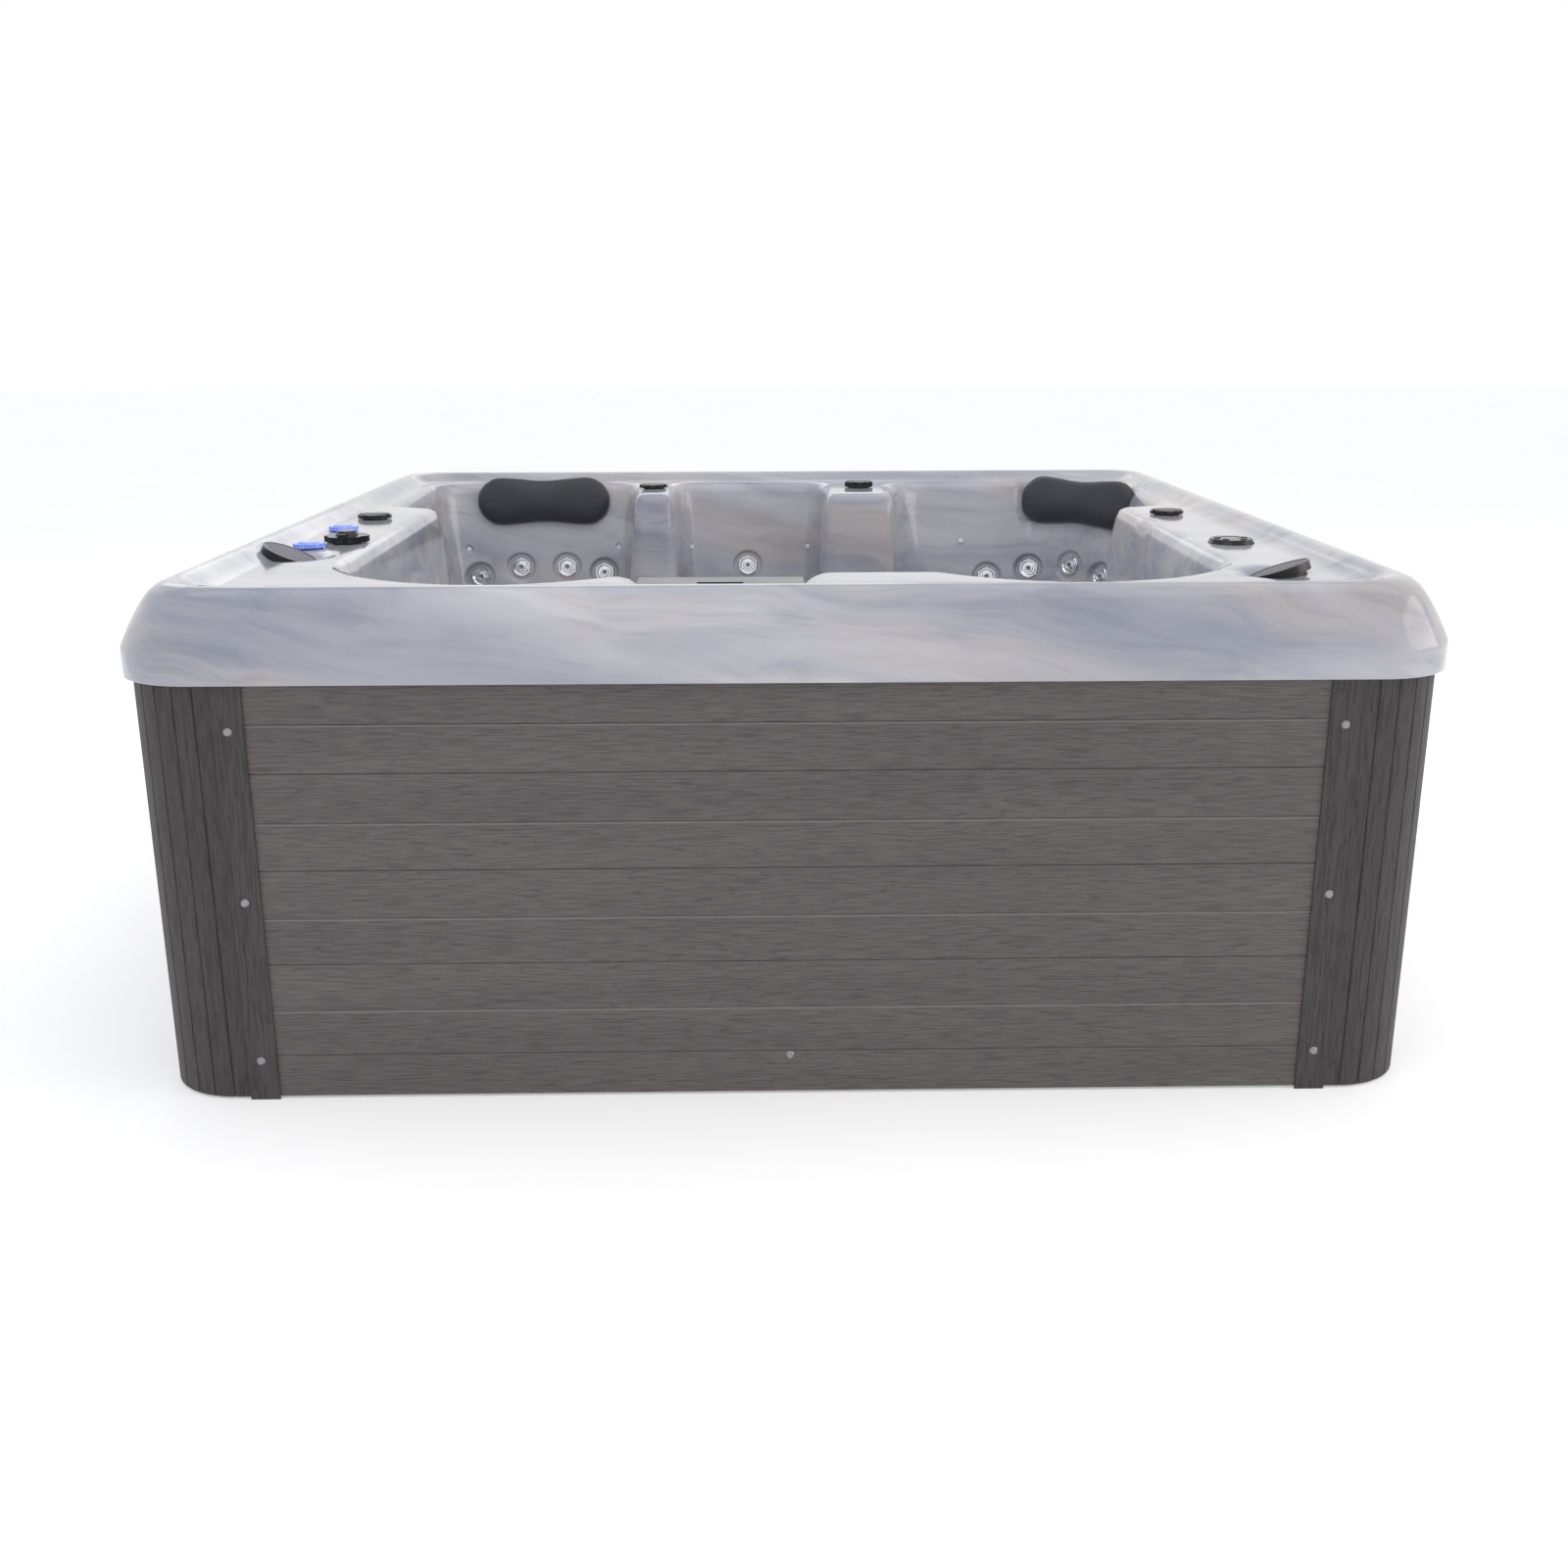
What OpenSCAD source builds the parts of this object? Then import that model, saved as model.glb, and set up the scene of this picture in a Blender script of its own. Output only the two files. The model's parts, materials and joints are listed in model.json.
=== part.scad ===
// Square hot tub: an acrylic shell with five seats in a slatted cabinet,
// with its frame, pumps, heater, filter, jets, valves and controls.
// Millimetres. Origin at the middle of the base, +Z up, front towards -Y.

/* [Overall] */
// Width and depth over the acrylic lip
lip_w = 2200; // [2196:1:2204]
// Height from the ground to the crest of the rim
total_h = 878; // [876:1:880]
// Thickness of the acrylic shell
shell_t = 8; // [7:0.5:9]

/* [Lip] */
// Height of the lip's lower edge above the ground
skirt_z = 727; // [724:1:730]
// Height of the upright band at the lip's edge
skirt_h = 47; // [44:1:50]
// Plan radius of the lip's corners
lip_r = 146; // [142:1:150]
// Depth of the deck below the crest
deck_drop = 28; // [26:1:30]

/* [Basin] */
// Height of the main seats above the ground
seat_z = 420; // [415:1:425]
// Height of the armrests between the seats
arm_z = 530; // [525:1:535]
// Height of the footwell floor
floor_z = 80; // [76:1:90]

/* [Cabinet] */
// Height of one cladding board, which has a groove along its middle
board_h = 166; // [165:0.5:167]
// Thickness of a cladding board
board_t = 12; // [10:0.5:13]
// Width of a stile beside a corner
stile_w = 50; // [48:1:52]
// Thickness of a stile
stile_t = 4; // [3:0.5:5]
// Plan radius of the corner panels
corner_r = 131; // [128:1:134]

/* [Fittings] */
// Radius of a turning jet face
jet_r = 26.5; // [25:0.5:28]
// Radius of the large diverter knob
diverter_r = 45; // [42:1:46]
// Radius of a small valve knob
knob_r = 38; // [35:1:40]
// Radius of a backlit air knob
air_knob_r = 31; // [29:1:32]
// Radius of a speaker
speaker_r = 53; // [50:1:54]
// Radius of the round control panel
panel_r = 46; // [44:1:47]
// Radial clearance of a stem in its bore
fit_gap = 0.05; // [0.02:0.01:0.08]

/* [Hidden] */
$fn = 48;

EPS = 0.5;
lip_half = lip_w / 2;
crease_z = skirt_z + skirt_h;
deck_z = total_h - deck_drop;
ledge_z = deck_z - 17;
above_z = total_h + 22;

// Cabinet planes, each a distance from the middle.
clad_out = lip_half - 15;
clad_in = clad_out - board_t;
corner_c = clad_out - corner_r;
clad_bottom = 4;
clad_top = 738;
stile_in = 875;
screw_x = 902;
board_end = screw_x - 4;
corner_end = screw_x + 4;
SCREW_Z = [650, 358, 72];
screw_r = 2.5;
head_r = 7.5;
groove = 3;

// Frame timbers and the pan.
timber = 45;
pan_half = clad_in - 4;
pan_t = 6;
pan_h = 40;
rail_h = 80;
rail_out = clad_in - timber - 1;
post_bottom = pan_t + 38;
post_top = 764;
rim_board_t = 26;
rim_board_bottom = 715;
rim_board_top = deck_z - shell_t - 34;
foam_t = 25;
foam_bottom = 140;

// ---------------------------------------------------------------- helpers

module rounded_square(half, r) {
    square([2 * half, 2 * (half - r)], center = true);
    square([2 * (half - r), 2 * half], center = true);
    for (x = [-1, 1], y = [-1, 1])
        translate([x * (half - r), y * (half - r)]) circle(r);
}

module four_sides() for (a = [0, 90, 180, 270]) rotate([0, 0, a]) children();

// Puts a piece at a place [point, bearing, elevation] with its +Z along that direction.
module aim(at) translate(at[0]) rotate([0, 90 - at[2], at[1]]) children();

module tube(r_out, r_in, h) difference() {
    cylinder(r = r_out, h = h);
    translate([0, 0, -EPS]) cylinder(r = r_in, h = h + 2 * EPS);
}

module box(low, high) translate(low) cube(high - low);

// Turns +Z towards a direction.
module stand_along(v) rotate([0, acos(v[2] / norm(v)), atan2(v[1], v[0])]) children();

// A bend at a corner, from one unit direction to another, as a part of a torus.
module elbow(corner, before, after, r) {
    turn = acos(before * after);
    up = cross(before, after) / norm(cross(before, after));
    out = cross(before, up);
    middle = corner - bend_r * tan(turn / 2) * before - bend_r * out;
    multmatrix([for (i = [0:2]) [out[i], before[i], up[i], middle[i]]])
        rotate_extrude(angle = turn) translate([bend_r, 0]) circle(r);
}

// A run of pipe with an elbow at each corner, which the straight lengths meet end to end.
bend_r = 32;
module pipe(points, r) {
    last = len(points) - 1;
    way = [for (i = [0:last - 1]) (points[i + 1] - points[i]) / norm(points[i + 1] - points[i])];
    cut = [0, each [for (i = [1:last - 1]) bend_r * tan(acos(way[i - 1] * way[i]) / 2) + 0.3], 0];
    for (i = [0:last - 1]) translate(points[i] + cut[i] * way[i]) stand_along(way[i])
        cylinder(r = r, h = norm(points[i + 1] - points[i]) - cut[i] - cut[i + 1]);
    for (i = [1:last - 1]) elbow(points[i], way[i - 1], way[i], r + 3);
}

// ---------------------------------------------------------------- the basin's form

// Each hollow is a list of discs [x, y, z, r] whose hull is cut from the form.
function ring(xs, ys, z, r) = [for (x = xs, y = ys) [x, y, z, r]];

// The back walls lean at one draft, so every back seat shares these two planes.
back_top = lip_half - 140;
back_low = back_top - 102;

SEAT_BACK_LEFT = concat(
    ring([-865, -450], [450, back_top - 80], above_z, 80),
    ring([-798, -508], [430, back_low - 80], seat_z, 80),
    [[-540, 330, seat_z, 150]]);
SEAT_BACK_MIDDLE = concat(
    ring([-215, 75], [420, back_top - 60], above_z, 60),
    ring([-190, 50], [420, back_low - 55], seat_z, 60));
CORNER_TOP = [[704, back_top - 110, above_z, 110], [back_top - 110, 704, above_z, 110]];
CORNER_LOW = [[662, back_low - 110, seat_z, 110], [back_low - 110, 662, seat_z, 110]];
SEAT_BACK_RIGHT = concat(CORNER_TOP, CORNER_LOW,
    [[425, 850, above_z, 110], [425, 420, above_z, 110], [850, 425, above_z, 110],
    [455, 748, seat_z, 110], [748, 425, seat_z, 110], [400, 400, seat_z, 110]]);
FRONT_TOP = [530, -540, above_z, 310];
FRONT_LOW = [500, -510, seat_z, 235];
SEAT_FRONT_RIGHT = [FRONT_TOP, FRONT_LOW, [380, -330, seat_z, 130]];
SEAT_FRONT_LEFT = [for (d = SEAT_FRONT_RIGHT) [-d[0], d[1], d[2], d[3]]];
SEAT_RIGHT = [[715, 10, above_z, 130], [665, 10, seat_z + 60, 120], [430, 10, seat_z + 60, 110]];
OPEN_CENTRE = concat(
    ring([-710, 710], [-600, 520], above_z, 120), ring([-690, 690], [-590, 500], arm_z, 95));
FOOTWELL = concat(
    ring([-330, 330], [-290, 330], seat_z + 110, 110), ring([-300, 300], [-260, 300], floor_z, 80));
// The sunken ledge that holds the filter's lid, open towards the basin.
FILTER = [-115, -820];
LEDGE = concat(ring([FILTER[0] - 152, FILTER[0] + 152], [-900, -700], above_z, 20),
    ring([FILTER[0] - 152, FILTER[0] + 152], [-900, -700], ledge_z, 12));
HOLLOWS = [SEAT_BACK_LEFT, SEAT_BACK_MIDDLE, SEAT_BACK_RIGHT, SEAT_FRONT_RIGHT, SEAT_FRONT_LEFT,
    SEAT_RIGHT, OPEN_CENTRE, FOOTWELL, LEDGE];

// The lip's rings from its lower edge to its crest: [inset, corner radius, z].
LIP_RINGS = [[0, lip_r, skirt_z], [0, lip_r, crease_z], [20, lip_r - 8, crease_z + 46],
    [36, lip_r - 18, total_h - 27], [54, lip_r - 28, total_h - 8], [76, lip_r - 42, total_h]];
deck_edge = lip_half - 118;

module disc(d, grow) {
    low = d[2] < above_z ? grow : 0;
    translate([d[0], d[1], d[2] - low]) cylinder(r = d[3] + grow, h = EPS, $fn = d[3] > 200 ? 48 : 24);
}

module hollow(discs, grow) hull() for (d = discs) disc(d, grow);

module lip_form(inset) hull() for (k = LIP_RINGS)
    translate([0, 0, k[2] - inset - EPS]) linear_extrude(EPS)
        rounded_square(lip_half - k[0] - inset, k[1] - inset, $fn = 48);

module deck_hollow(grow) hull() {
    translate([0, 0, deck_z - grow]) linear_extrude(EPS) rounded_square(deck_edge + grow, 90 + grow, $fn = 32);
    translate([0, 0, total_h]) linear_extrude(EPS)
        rounded_square(lip_half - 88 + grow, 100 + grow, $fn = 32);
}

module jet_well(at, grow) aim(at)
    translate([0, 0, -grow]) cylinder(r = 39 + grow, h = 34 + grow, $fn = 20);

module speaker_well(at, grow) aim(at)
    translate([0, 0, -grow]) cylinder(r = speaker_r + 8 + grow, h = 60, $fn = 28);

// A pillow's pocket: a slot with round ends along the wall.
module pillow_well(at, grow) aim(at) hull() for (s = [-1, 1])
    translate([0, s * pillow_c, -grow]) cylinder(r = pillow_r + 8 + grow, h = 60 + grow, $fn = 28);

module hollows(grow) {
    deck_hollow(grow);
    for (h = HOLLOWS) hollow(h, grow);
    for (j = concat(JETS, FIXED_JETS)) jet_well(j, grow);
    for (s = SPEAKERS) speaker_well(s, grow);
    for (p = PILLOWS) pillow_well(p, grow);
}

// ---------------------------------------------------------------- where the fittings stand

// A place on the wall between a top disc and a low disc, at an angle round them and a height,
// pushed back into the wall. Its axis points into the tub.
function wall_place(top, low, angle, z, depth) =
    let (k = (top[2] - z) / (top[2] - low[2]),
        c = top + (low - top) * k,
        reach = c[3] + depth,
        fall = (top[0] - low[0]) * cos(angle) + (top[1] - low[1]) * sin(angle) + top[3] - low[3])
    [[c[0] + reach * cos(angle), c[1] + reach * sin(angle), z], angle + 180,
        atan(fall / (top[2] - low[2]))];

jet_depth = 9;
pillow_depth = 6;
pillow_r = 66;
pillow_c = 119;
pillow_t = 46;
function back_place(x, z, depth) =
    wall_place([x, back_top - 80, above_z, 80], [x, back_low - 80, seat_z, 80], 90, z, depth);
corner_mid_top = (CORNER_TOP[0] + CORNER_TOP[1]) / 2;
corner_mid_low = (CORNER_LOW[0] + CORNER_LOW[1]) / 2;
JETS = [
    back_place(-828, 594, jet_depth), back_place(-714, 620, jet_depth),
    back_place(-585, 620, jet_depth), back_place(-480, 605, jet_depth),
    back_place(-76, 623, jet_depth), back_place(600, 588, jet_depth),
    wall_place(CORNER_TOP[0], CORNER_LOW[0], 70, 611, jet_depth),
    wall_place(corner_mid_top, corner_mid_low, 45, 630, jet_depth),
    wall_place(CORNER_TOP[1], CORNER_LOW[1], 31, 610, jet_depth)];
function mirror_x(d) = [-d[0], d[1], d[2], d[3]];
FIXED_JETS = concat(
    [for (a = [-82, -66, -50]) wall_place(FRONT_TOP, FRONT_LOW, a, 600, jet_depth)],
    [for (a = [230, 246, 262]) wall_place(mirror_x(FRONT_TOP), mirror_x(FRONT_LOW), a, 600, jet_depth)]);
PILLOWS = [back_place(-646, 800, pillow_depth),
    wall_place(corner_mid_top, corner_mid_low, 45, 800, pillow_depth)];
// Light points stand on the rounded ends of the back seats' walls, at their disc pairs 1-5 and 3-7.
function end_place(seat, i, angle, z) = wall_place(seat[i], seat[i + 4], angle, z, 0);
LEDS = [end_place(SEAT_BACK_LEFT, 1, 108, 672), end_place(SEAT_BACK_LEFT, 3, 60, 676),
    end_place(SEAT_BACK_MIDDLE, 1, 120, 676), end_place(SEAT_BACK_MIDDLE, 3, 60, 676),
    back_place(526, 688, 0)];
SPEAKERS = [[[-954, -498, deck_z - 9], 0, 67], [[884, -765, deck_z - 8], 160, 70]];
// Each valve: [x, y, knob radius, knob height].
VALVES = [[-888, -300, diverter_r, 24], [-926, 112, knob_r, 13], [-330, 800, knob_r, 12],
    [228, 800, knob_r, 18], [902, 130, knob_r, 13]];
AIR_VALVES = [[-942, -388], [-942, -110]];
PANEL = [908, -370];
SUCTION_LEFT = wall_place([-330, 20, seat_z + 110, 110], [-300, 20, floor_z, 80], 180, 210, 0);
SUCTION_RIGHT = wall_place([330, 20, seat_z + 110, 110], [300, 20, floor_z, 80], 0, 210, 0);
LIGHT = wall_place([0, 330, seat_z + 110, 110], [0, 300, floor_z, 80], 90, 260, 0);
stem_r = 10;
jet_stem_r = 14;
neck_r = 22;
hole_r = neck_r + 1;
suction_r = 34;
light_r = 48;
led_r = 4;

// ---------------------------------------------------------------- base and frame

module base_pan() color("dimgray") difference() {
    linear_extrude(pan_h) rounded_square(pan_half, corner_r - board_t - 4);
    translate([0, 0, pan_t]) linear_extrude(pan_h) rounded_square(pan_half - pan_t, corner_r - board_t - 4 - pan_t);
}

module bottom_rails() color("burlywood") translate([0, 0, pan_t]) linear_extrude(rail_h) {
    for (s = [-1, 1]) {
        translate([0, s * (rail_out - timber / 2)]) square([2 * rail_out, timber], center = true);
        translate([s * (rail_out - timber / 2), 0]) square([timber, 2 * (rail_out - timber)], center = true);
    }
}

module frame_posts() color("burlywood") four_sides() difference() {
    for (x = [-screw_x, 0, screw_x])
        box([x - timber / 2, -clad_in, post_bottom], [x + timber / 2, timber - clad_in, post_top]);
    for (x = [-screw_x, screw_x], z = SCREW_Z) screw_bore(x, z, screw_r);
    screw_bore(0, SCREW_Z[2], screw_r);
}

module top_rails() color("burlywood") translate([0, 0, rim_board_bottom])
    linear_extrude(rim_board_top - rim_board_bottom) difference() {
        square(2 * rail_out, center = true);
        square(2 * (rail_out - rim_board_t), center = true);
    }

module insulation_boards() color("lightyellow") four_sides() for (s = [-1, 1])
    translate([s * screw_x / 2, -clad_in + foam_t / 2 + 0.5, (foam_bottom + clad_top) / 2])
        cube([screw_x - timber - 4, foam_t, clad_top - foam_bottom - 30], center = true);

// ---------------------------------------------------------------- cabinet

module screw_bore(x, z, r) translate([x, -clad_out - 20, z]) rotate([-90, 0, 0]) cylinder(r = r, h = 80);

// One board lying along X with its face towards -Y, a bevelled top edge and a groove.
module board(z0, z1, grooved) {
    mid = z0 + board_h / 2 - (z0 == clad_bottom ? clad_bottom * 2 : 0);
    cut = grooved ? [[0, mid + groove], [groove, mid], [0, mid - 1]] : [];
    rotate([90, 0, 90]) translate([-clad_out, 0, -board_end]) linear_extrude(2 * board_end)
        polygon(concat([[board_t, z0], [board_t, z1], [groove, z1], [0, z1 - groove]], cut, [[0, z0 + 1]]));
}

module side_boards() difference() {
    union() {
        board(clad_bottom, board_h - 4.5, true);
        for (i = [1:3]) board(i * board_h - 4, (i + 1) * board_h - 4.5, true);
        board(4 * board_h - 4, clad_top, false);
    }
    screw_bore(0, SCREW_Z[2], screw_r);
}

module front_boards() color([0.34, 0.32, 0.32]) side_boards();
module right_boards() color([0.34, 0.32, 0.32]) rotate([0, 0, 90]) side_boards();
module left_boards() color([0.34, 0.32, 0.32]) rotate([0, 0, -90]) side_boards();
module back_boards() color([0.34, 0.32, 0.32]) difference() {
    rotate([0, 0, 180]) side_boards();
    for (f = [DRAIN, GLAND]) translate([f[0], clad_in - EPS, f[1]])
        rotate([-90, 0, 0]) cylinder(r = f[2] + EPS, h = board_t + 2 * EPS);
}

// A corner panel: two flat ends and a quarter round, scored into slats.
module corner_panels() color([0.24, 0.23, 0.24]) four_sides() difference() {
    translate([0, 0, clad_bottom]) linear_extrude(clad_top - clad_bottom) {
        translate([corner_c, -corner_c]) rotate([0, 0, -90]) difference() {
            intersection() {
                circle(corner_r, $fn = 96);
                square(corner_r);
            }
            circle(corner_r - board_t, $fn = 96);
        }
        translate([corner_end, -clad_out]) square([corner_c - corner_end, board_t]);
        translate([clad_in, -corner_c]) square([board_t, corner_c - corner_end]);
    }
    for (a = [0:15:90]) translate([corner_c, -corner_c, 0]) rotate([0, 0, a - 90])
        translate([corner_r, 0, 0]) rotate([0, 0, 45]) cube([groove, groove, 4 * clad_top], center = true);
}

module stiles() color([0.25, 0.23, 0.25]) four_sides() for (s = [-1, 1]) difference() {
    box([s * (stile_in + stile_w / 2) - stile_w / 2, -clad_out - stile_t, 0],
        [s * (stile_in + stile_w / 2) + stile_w / 2, -clad_out, clad_top]);
    for (z = SCREW_Z) screw_bore(s * screw_x, z, screw_r);
}

module screw(x, y, z) translate([x, y, z]) rotate([90, 0, 0]) {
    cylinder(r1 = head_r, r2 = head_r - 2.2, h = 2.4);
    translate([0, 0, -40]) cylinder(r = screw_r, h = 40);
}

module cabinet_screws() color("gray") four_sides() {
    for (x = [-screw_x, screw_x], z = SCREW_Z) screw(x, -clad_out - stile_t, z);
    screw(0, -clad_out, SCREW_Z[2]);
}

// ---------------------------------------------------------------- acrylic shell

module acrylic_shell() color([0.70, 0.70, 0.74]) difference() {
    intersection() {
        union() {
            difference() {
                lip_form(0);
                lip_form(shell_t);
            }
            hollows(shell_t);
        }
        union() {
            lip_form(0);
            translate([0, 0, skirt_z / 2]) cube([2 * clad_in, 2 * clad_in, skirt_z + 2], center = true);
        }
    }
    hollows(0);
    for (j = concat(JETS, FIXED_JETS)) aim(j) cylinder(r = hole_r, h = 60, center = true, $fn = 16);
    for (v = concat(VALVES, AIR_VALVES))
        translate([v[0], v[1], deck_z]) cylinder(r = hole_r, h = 60, center = true, $fn = 16);
    for (s = SPEAKERS) aim(s) cylinder(r = speaker_r - 7, h = 60, center = true, $fn = 32);
    translate([PANEL[0], PANEL[1], deck_z]) cylinder(r = panel_r - 9, h = 60, center = true, $fn = 32);
    for (s = [SUCTION_LEFT, SUCTION_RIGHT]) aim(s) cylinder(r = hole_r, h = 60, center = true, $fn = 16);
    aim(LIGHT) cylinder(r = 33, h = 60, center = true, $fn = 24);
    for (l = LEDS) aim(l) cylinder(r = led_r + 0.5, h = 60, center = true, $fn = 16);
    translate([FILTER[0], FILTER[1], ledge_z]) cube([236, 136, 60], center = true);
    translate([FILTER[0], FILTER[1] + 110, weir_z]) cube([weir_w, 80, weir_h], center = true);
}

module pillow(at) aim(at) hull() for (s = [-1, 1]) translate([0, s * pillow_c, 1]) {
    cylinder(r = pillow_r, h = pillow_t - 14, $fn = 32);
    cylinder(r = pillow_r - 14, h = pillow_t, $fn = 32);
}

module pillow_left() color([0.18, 0.18, 0.21]) pillow(PILLOWS[0]);
module pillow_right() color([0.18, 0.18, 0.21]) pillow(PILLOWS[1]);

// ---------------------------------------------------------------- speakers and control panel

speaker_h = 16;

module speaker_housing() {
    difference() {
        union() {
            translate([0, 0, 0.3]) cylinder(r = speaker_r, h = speaker_h);
            translate([0, 0, -44]) cylinder(r = speaker_r - 9, h = 50);
        }
        translate([0, 0, speaker_h - 2.7]) cylinder(r = speaker_r - 4, h = 5);
        translate([0, 0, -38]) cylinder(r = speaker_r - 14, h = 60);
    }
}

module speaker_housings() color([0.16, 0.16, 0.18]) for (s = SPEAKERS) aim(s) speaker_housing();

module speaker_grilles() color([0.36, 0.36, 0.40]) for (s = SPEAKERS) aim(s)
    translate([0, 0, speaker_h - 2.7]) difference() {
        cylinder(r = speaker_r - 4.4, h = 2.4);
        for (k = [1:5]) translate([0, 0, 1.6]) tube(8.4 * k + 1.2, 8.4 * k - 1.2, 2);
    }

panel_h = 9;
button_r = 6.5;
button_travel = 1.5;
BUTTONS = [[-18, -24], [18, -24], [-27, 4], [27, 4]];

module panel_bezel() color([0.10, 0.10, 0.12]) translate([PANEL[0], PANEL[1], deck_z + 0.3]) difference() {
    union() {
        cylinder(r1 = panel_r, r2 = panel_r - 5, h = panel_h);
        translate([0, 0, -24]) cylinder(r = panel_r - 10, h = 26);
    }
    translate([0, 14, panel_h - 2]) cube([40, 20, 6], center = true);
    for (b = BUTTONS) translate([b[0], b[1], 0]) cylinder(r = button_r + 0.3, h = 20);
    translate([0, 0, -26]) cylinder(r = panel_r - 14, h = 20);
}

module panel_display() color([0.65, 0.64, 0.82]) translate([PANEL[0], PANEL[1] + 14, deck_z + panel_h - 2.6])
    cube([39.6, 19.6, 4], center = true);

module button(i) color([0.30, 0.30, 0.33])
    translate([PANEL[0] + BUTTONS[i][0], PANEL[1] + BUTTONS[i][1], deck_z + 0.3 + button_travel + 0.3])
        cylinder(r = button_r, h = panel_h);

module button_jets() button(0);
module button_light() button(1);
module button_warmer() button(2);
module button_cooler() button(3);

// ---------------------------------------------------------------- valves

// A valve's body hangs in the deck, with a flange above it and a bore for the knob's stem.
module valve_body(x, y) translate([x, y, deck_z]) difference() {
    union() {
        translate([0, 0, 0.3]) cylinder(r = neck_r + 6, h = 2);
        translate([0, 0, -46]) cylinder(r = neck_r, h = 47);
        translate([0, 0, -70]) rotate([0, 90, 0]) cylinder(r = 13, h = 70, center = true);
        translate([0, 0, -84]) cylinder(r = 20, h = 40);
        translate([0, 0, -shell_t - 8.5]) cylinder(r = neck_r + 8, h = 8);
    }
    translate([0, 0, -34]) cylinder(r = stem_r + fit_gap, h = 50);
}

module valve_bodies() color([0.20, 0.20, 0.22]) for (v = VALVES) valve_body(v[0], v[1]);
module air_valve_bodies() color([0.20, 0.20, 0.22]) for (v = AIR_VALVES) valve_body(v[0], v[1]);

module stem() translate([0, 0, -30]) cylinder(r = stem_r, h = 34);

// A scalloped knob with a raised grip across it.
module small_knob(v) color([0.07, 0.07, 0.08]) translate([v[0], v[1], deck_z]) {
    stem();
    translate([0, 0, 2.6]) difference() {
        union() {
            cylinder(r = v[2], h = v[3] - 7);
            translate([0, 0, v[3] - 7]) cylinder(r1 = v[2], r2 = v[2] - 4, h = 3);
        }
        for (a = [0:45:315]) rotate([0, 0, a + 22.5]) translate([v[2] + 5, 0, -1]) cylinder(r = 9, h = v[3] + 4);
    }
    translate([0, 0, v[3] / 2 + 1]) cube([2 * v[2] - 10, 10, v[3] - 3], center = true);
}

module diverter_knob() color([0.07, 0.07, 0.08]) {
    v = VALVES[0];
    translate([v[0], v[1], deck_z]) {
        stem();
        translate([0, 0, 2.6]) difference() {
            cylinder(r = v[2], h = 12);
            for (a = [0:60:300]) rotate([0, 0, a + 30]) translate([v[2] + 8, 0, -1]) cylinder(r = 14, h = 20);
        }
        translate([0, 0, 14.6]) cylinder(r1 = 24, r2 = 17, h = v[3] - 14.6);
        translate([0, -18, 16]) cube([16, 50, 9], center = true);
    }
}

module knob_left_rear() small_knob(VALVES[1]);
module knob_back_left() small_knob(VALVES[2]);
module knob_back_right() small_knob(VALVES[3]);
module knob_right_rear() small_knob(VALVES[4]);

module air_knob(v) color([0.45, 0.55, 0.95]) translate([v[0], v[1], deck_z]) {
    stem();
    translate([0, 0, 2.6]) difference() {
        cylinder(r = air_knob_r, h = 8);
        for (a = [0:30:330]) rotate([0, 0, a]) translate([air_knob_r + 2, 0, -1]) cylinder(r = 5, h = 12);
    }
    translate([0, 0, 10.4]) cylinder(r1 = air_knob_r - 8, r2 = air_knob_r - 12, h = 3);
}

module air_knob_front() air_knob(AIR_VALVES[0]);
module air_knob_rear() air_knob(AIR_VALVES[1]);

// ---------------------------------------------------------------- jets

// The barrel stands behind the shell: a neck, a nut, a chamber and a hose barb.
module jet_housing(at, bore_r) aim(at) difference() {
    union() {
        translate([0, 0, -46]) cylinder(r = neck_r, h = 45.7);
        translate([0, 0, -shell_t - 8.5]) cylinder(r = neck_r + 9, h = 8);
        translate([0, 0, -46]) cylinder(r = 26, h = 22);
        translate([22, 0, -35]) rotate([0, 90, 0]) cylinder(r = 8, h = 30);
    }
    translate([0, 0, -22]) cylinder(r = bore_r, h = 30);
}

module jet_housings() color("whitesmoke") for (j = JETS) jet_housing(j, jet_stem_r + fit_gap);

// A dished face with a nozzle, a spigot and six grip notches round its rim.
module jet_face(i) color("silver") aim(JETS[i]) difference() {
    rotate_extrude() polygon([[5, -18], [jet_stem_r, -18], [jet_stem_r, 0.3], [jet_r - 1, 0.3],
        [jet_r, 1.5], [jet_r, 5], [jet_r - 2, 7], [jet_r - 5, 7], [jet_r - 9, 4.5], [13, 4.5],
        [11, 9.5], [7.5, 9.5], [5, 7]]);
    for (a = [0:60:300]) rotate([0, 0, a]) translate([jet_r + 1.2, 0, 3.2]) cylinder(r = 3, h = 6);
}

module jet_face_1() jet_face(0);
module jet_face_2() jet_face(1);
module jet_face_3() jet_face(2);
module jet_face_4() jet_face(3);
module jet_face_5() jet_face(4);
module jet_face_6() jet_face(5);
module jet_face_7() jet_face(6);
module jet_face_8() jet_face(7);
module jet_face_9() jet_face(8);

module fixed_jets() color("silver") for (j = FIXED_JETS) {
    jet_housing(j, jet_stem_r);
    aim(j) rotate_extrude() polygon([[5, -20], [jet_stem_r, -20], [jet_stem_r, 0.3], [jet_r, 0.3],
        [jet_r, 5], [jet_r - 2, 7], [jet_r - 5, 7], [jet_r - 9, 4.5], [13, 4.5], [11, 9.5], [7.5, 9.5], [5, 7]]);
}

module led_points() color("white") for (l = LEDS) aim(l) {
    translate([0, 0, -12]) cylinder(r = led_r, h = 13);
    translate([0, 0, 1]) cylinder(r1 = led_r + 3, r2 = led_r + 1, h = 2);
}

// ---------------------------------------------------------------- skimmer and filter

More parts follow.
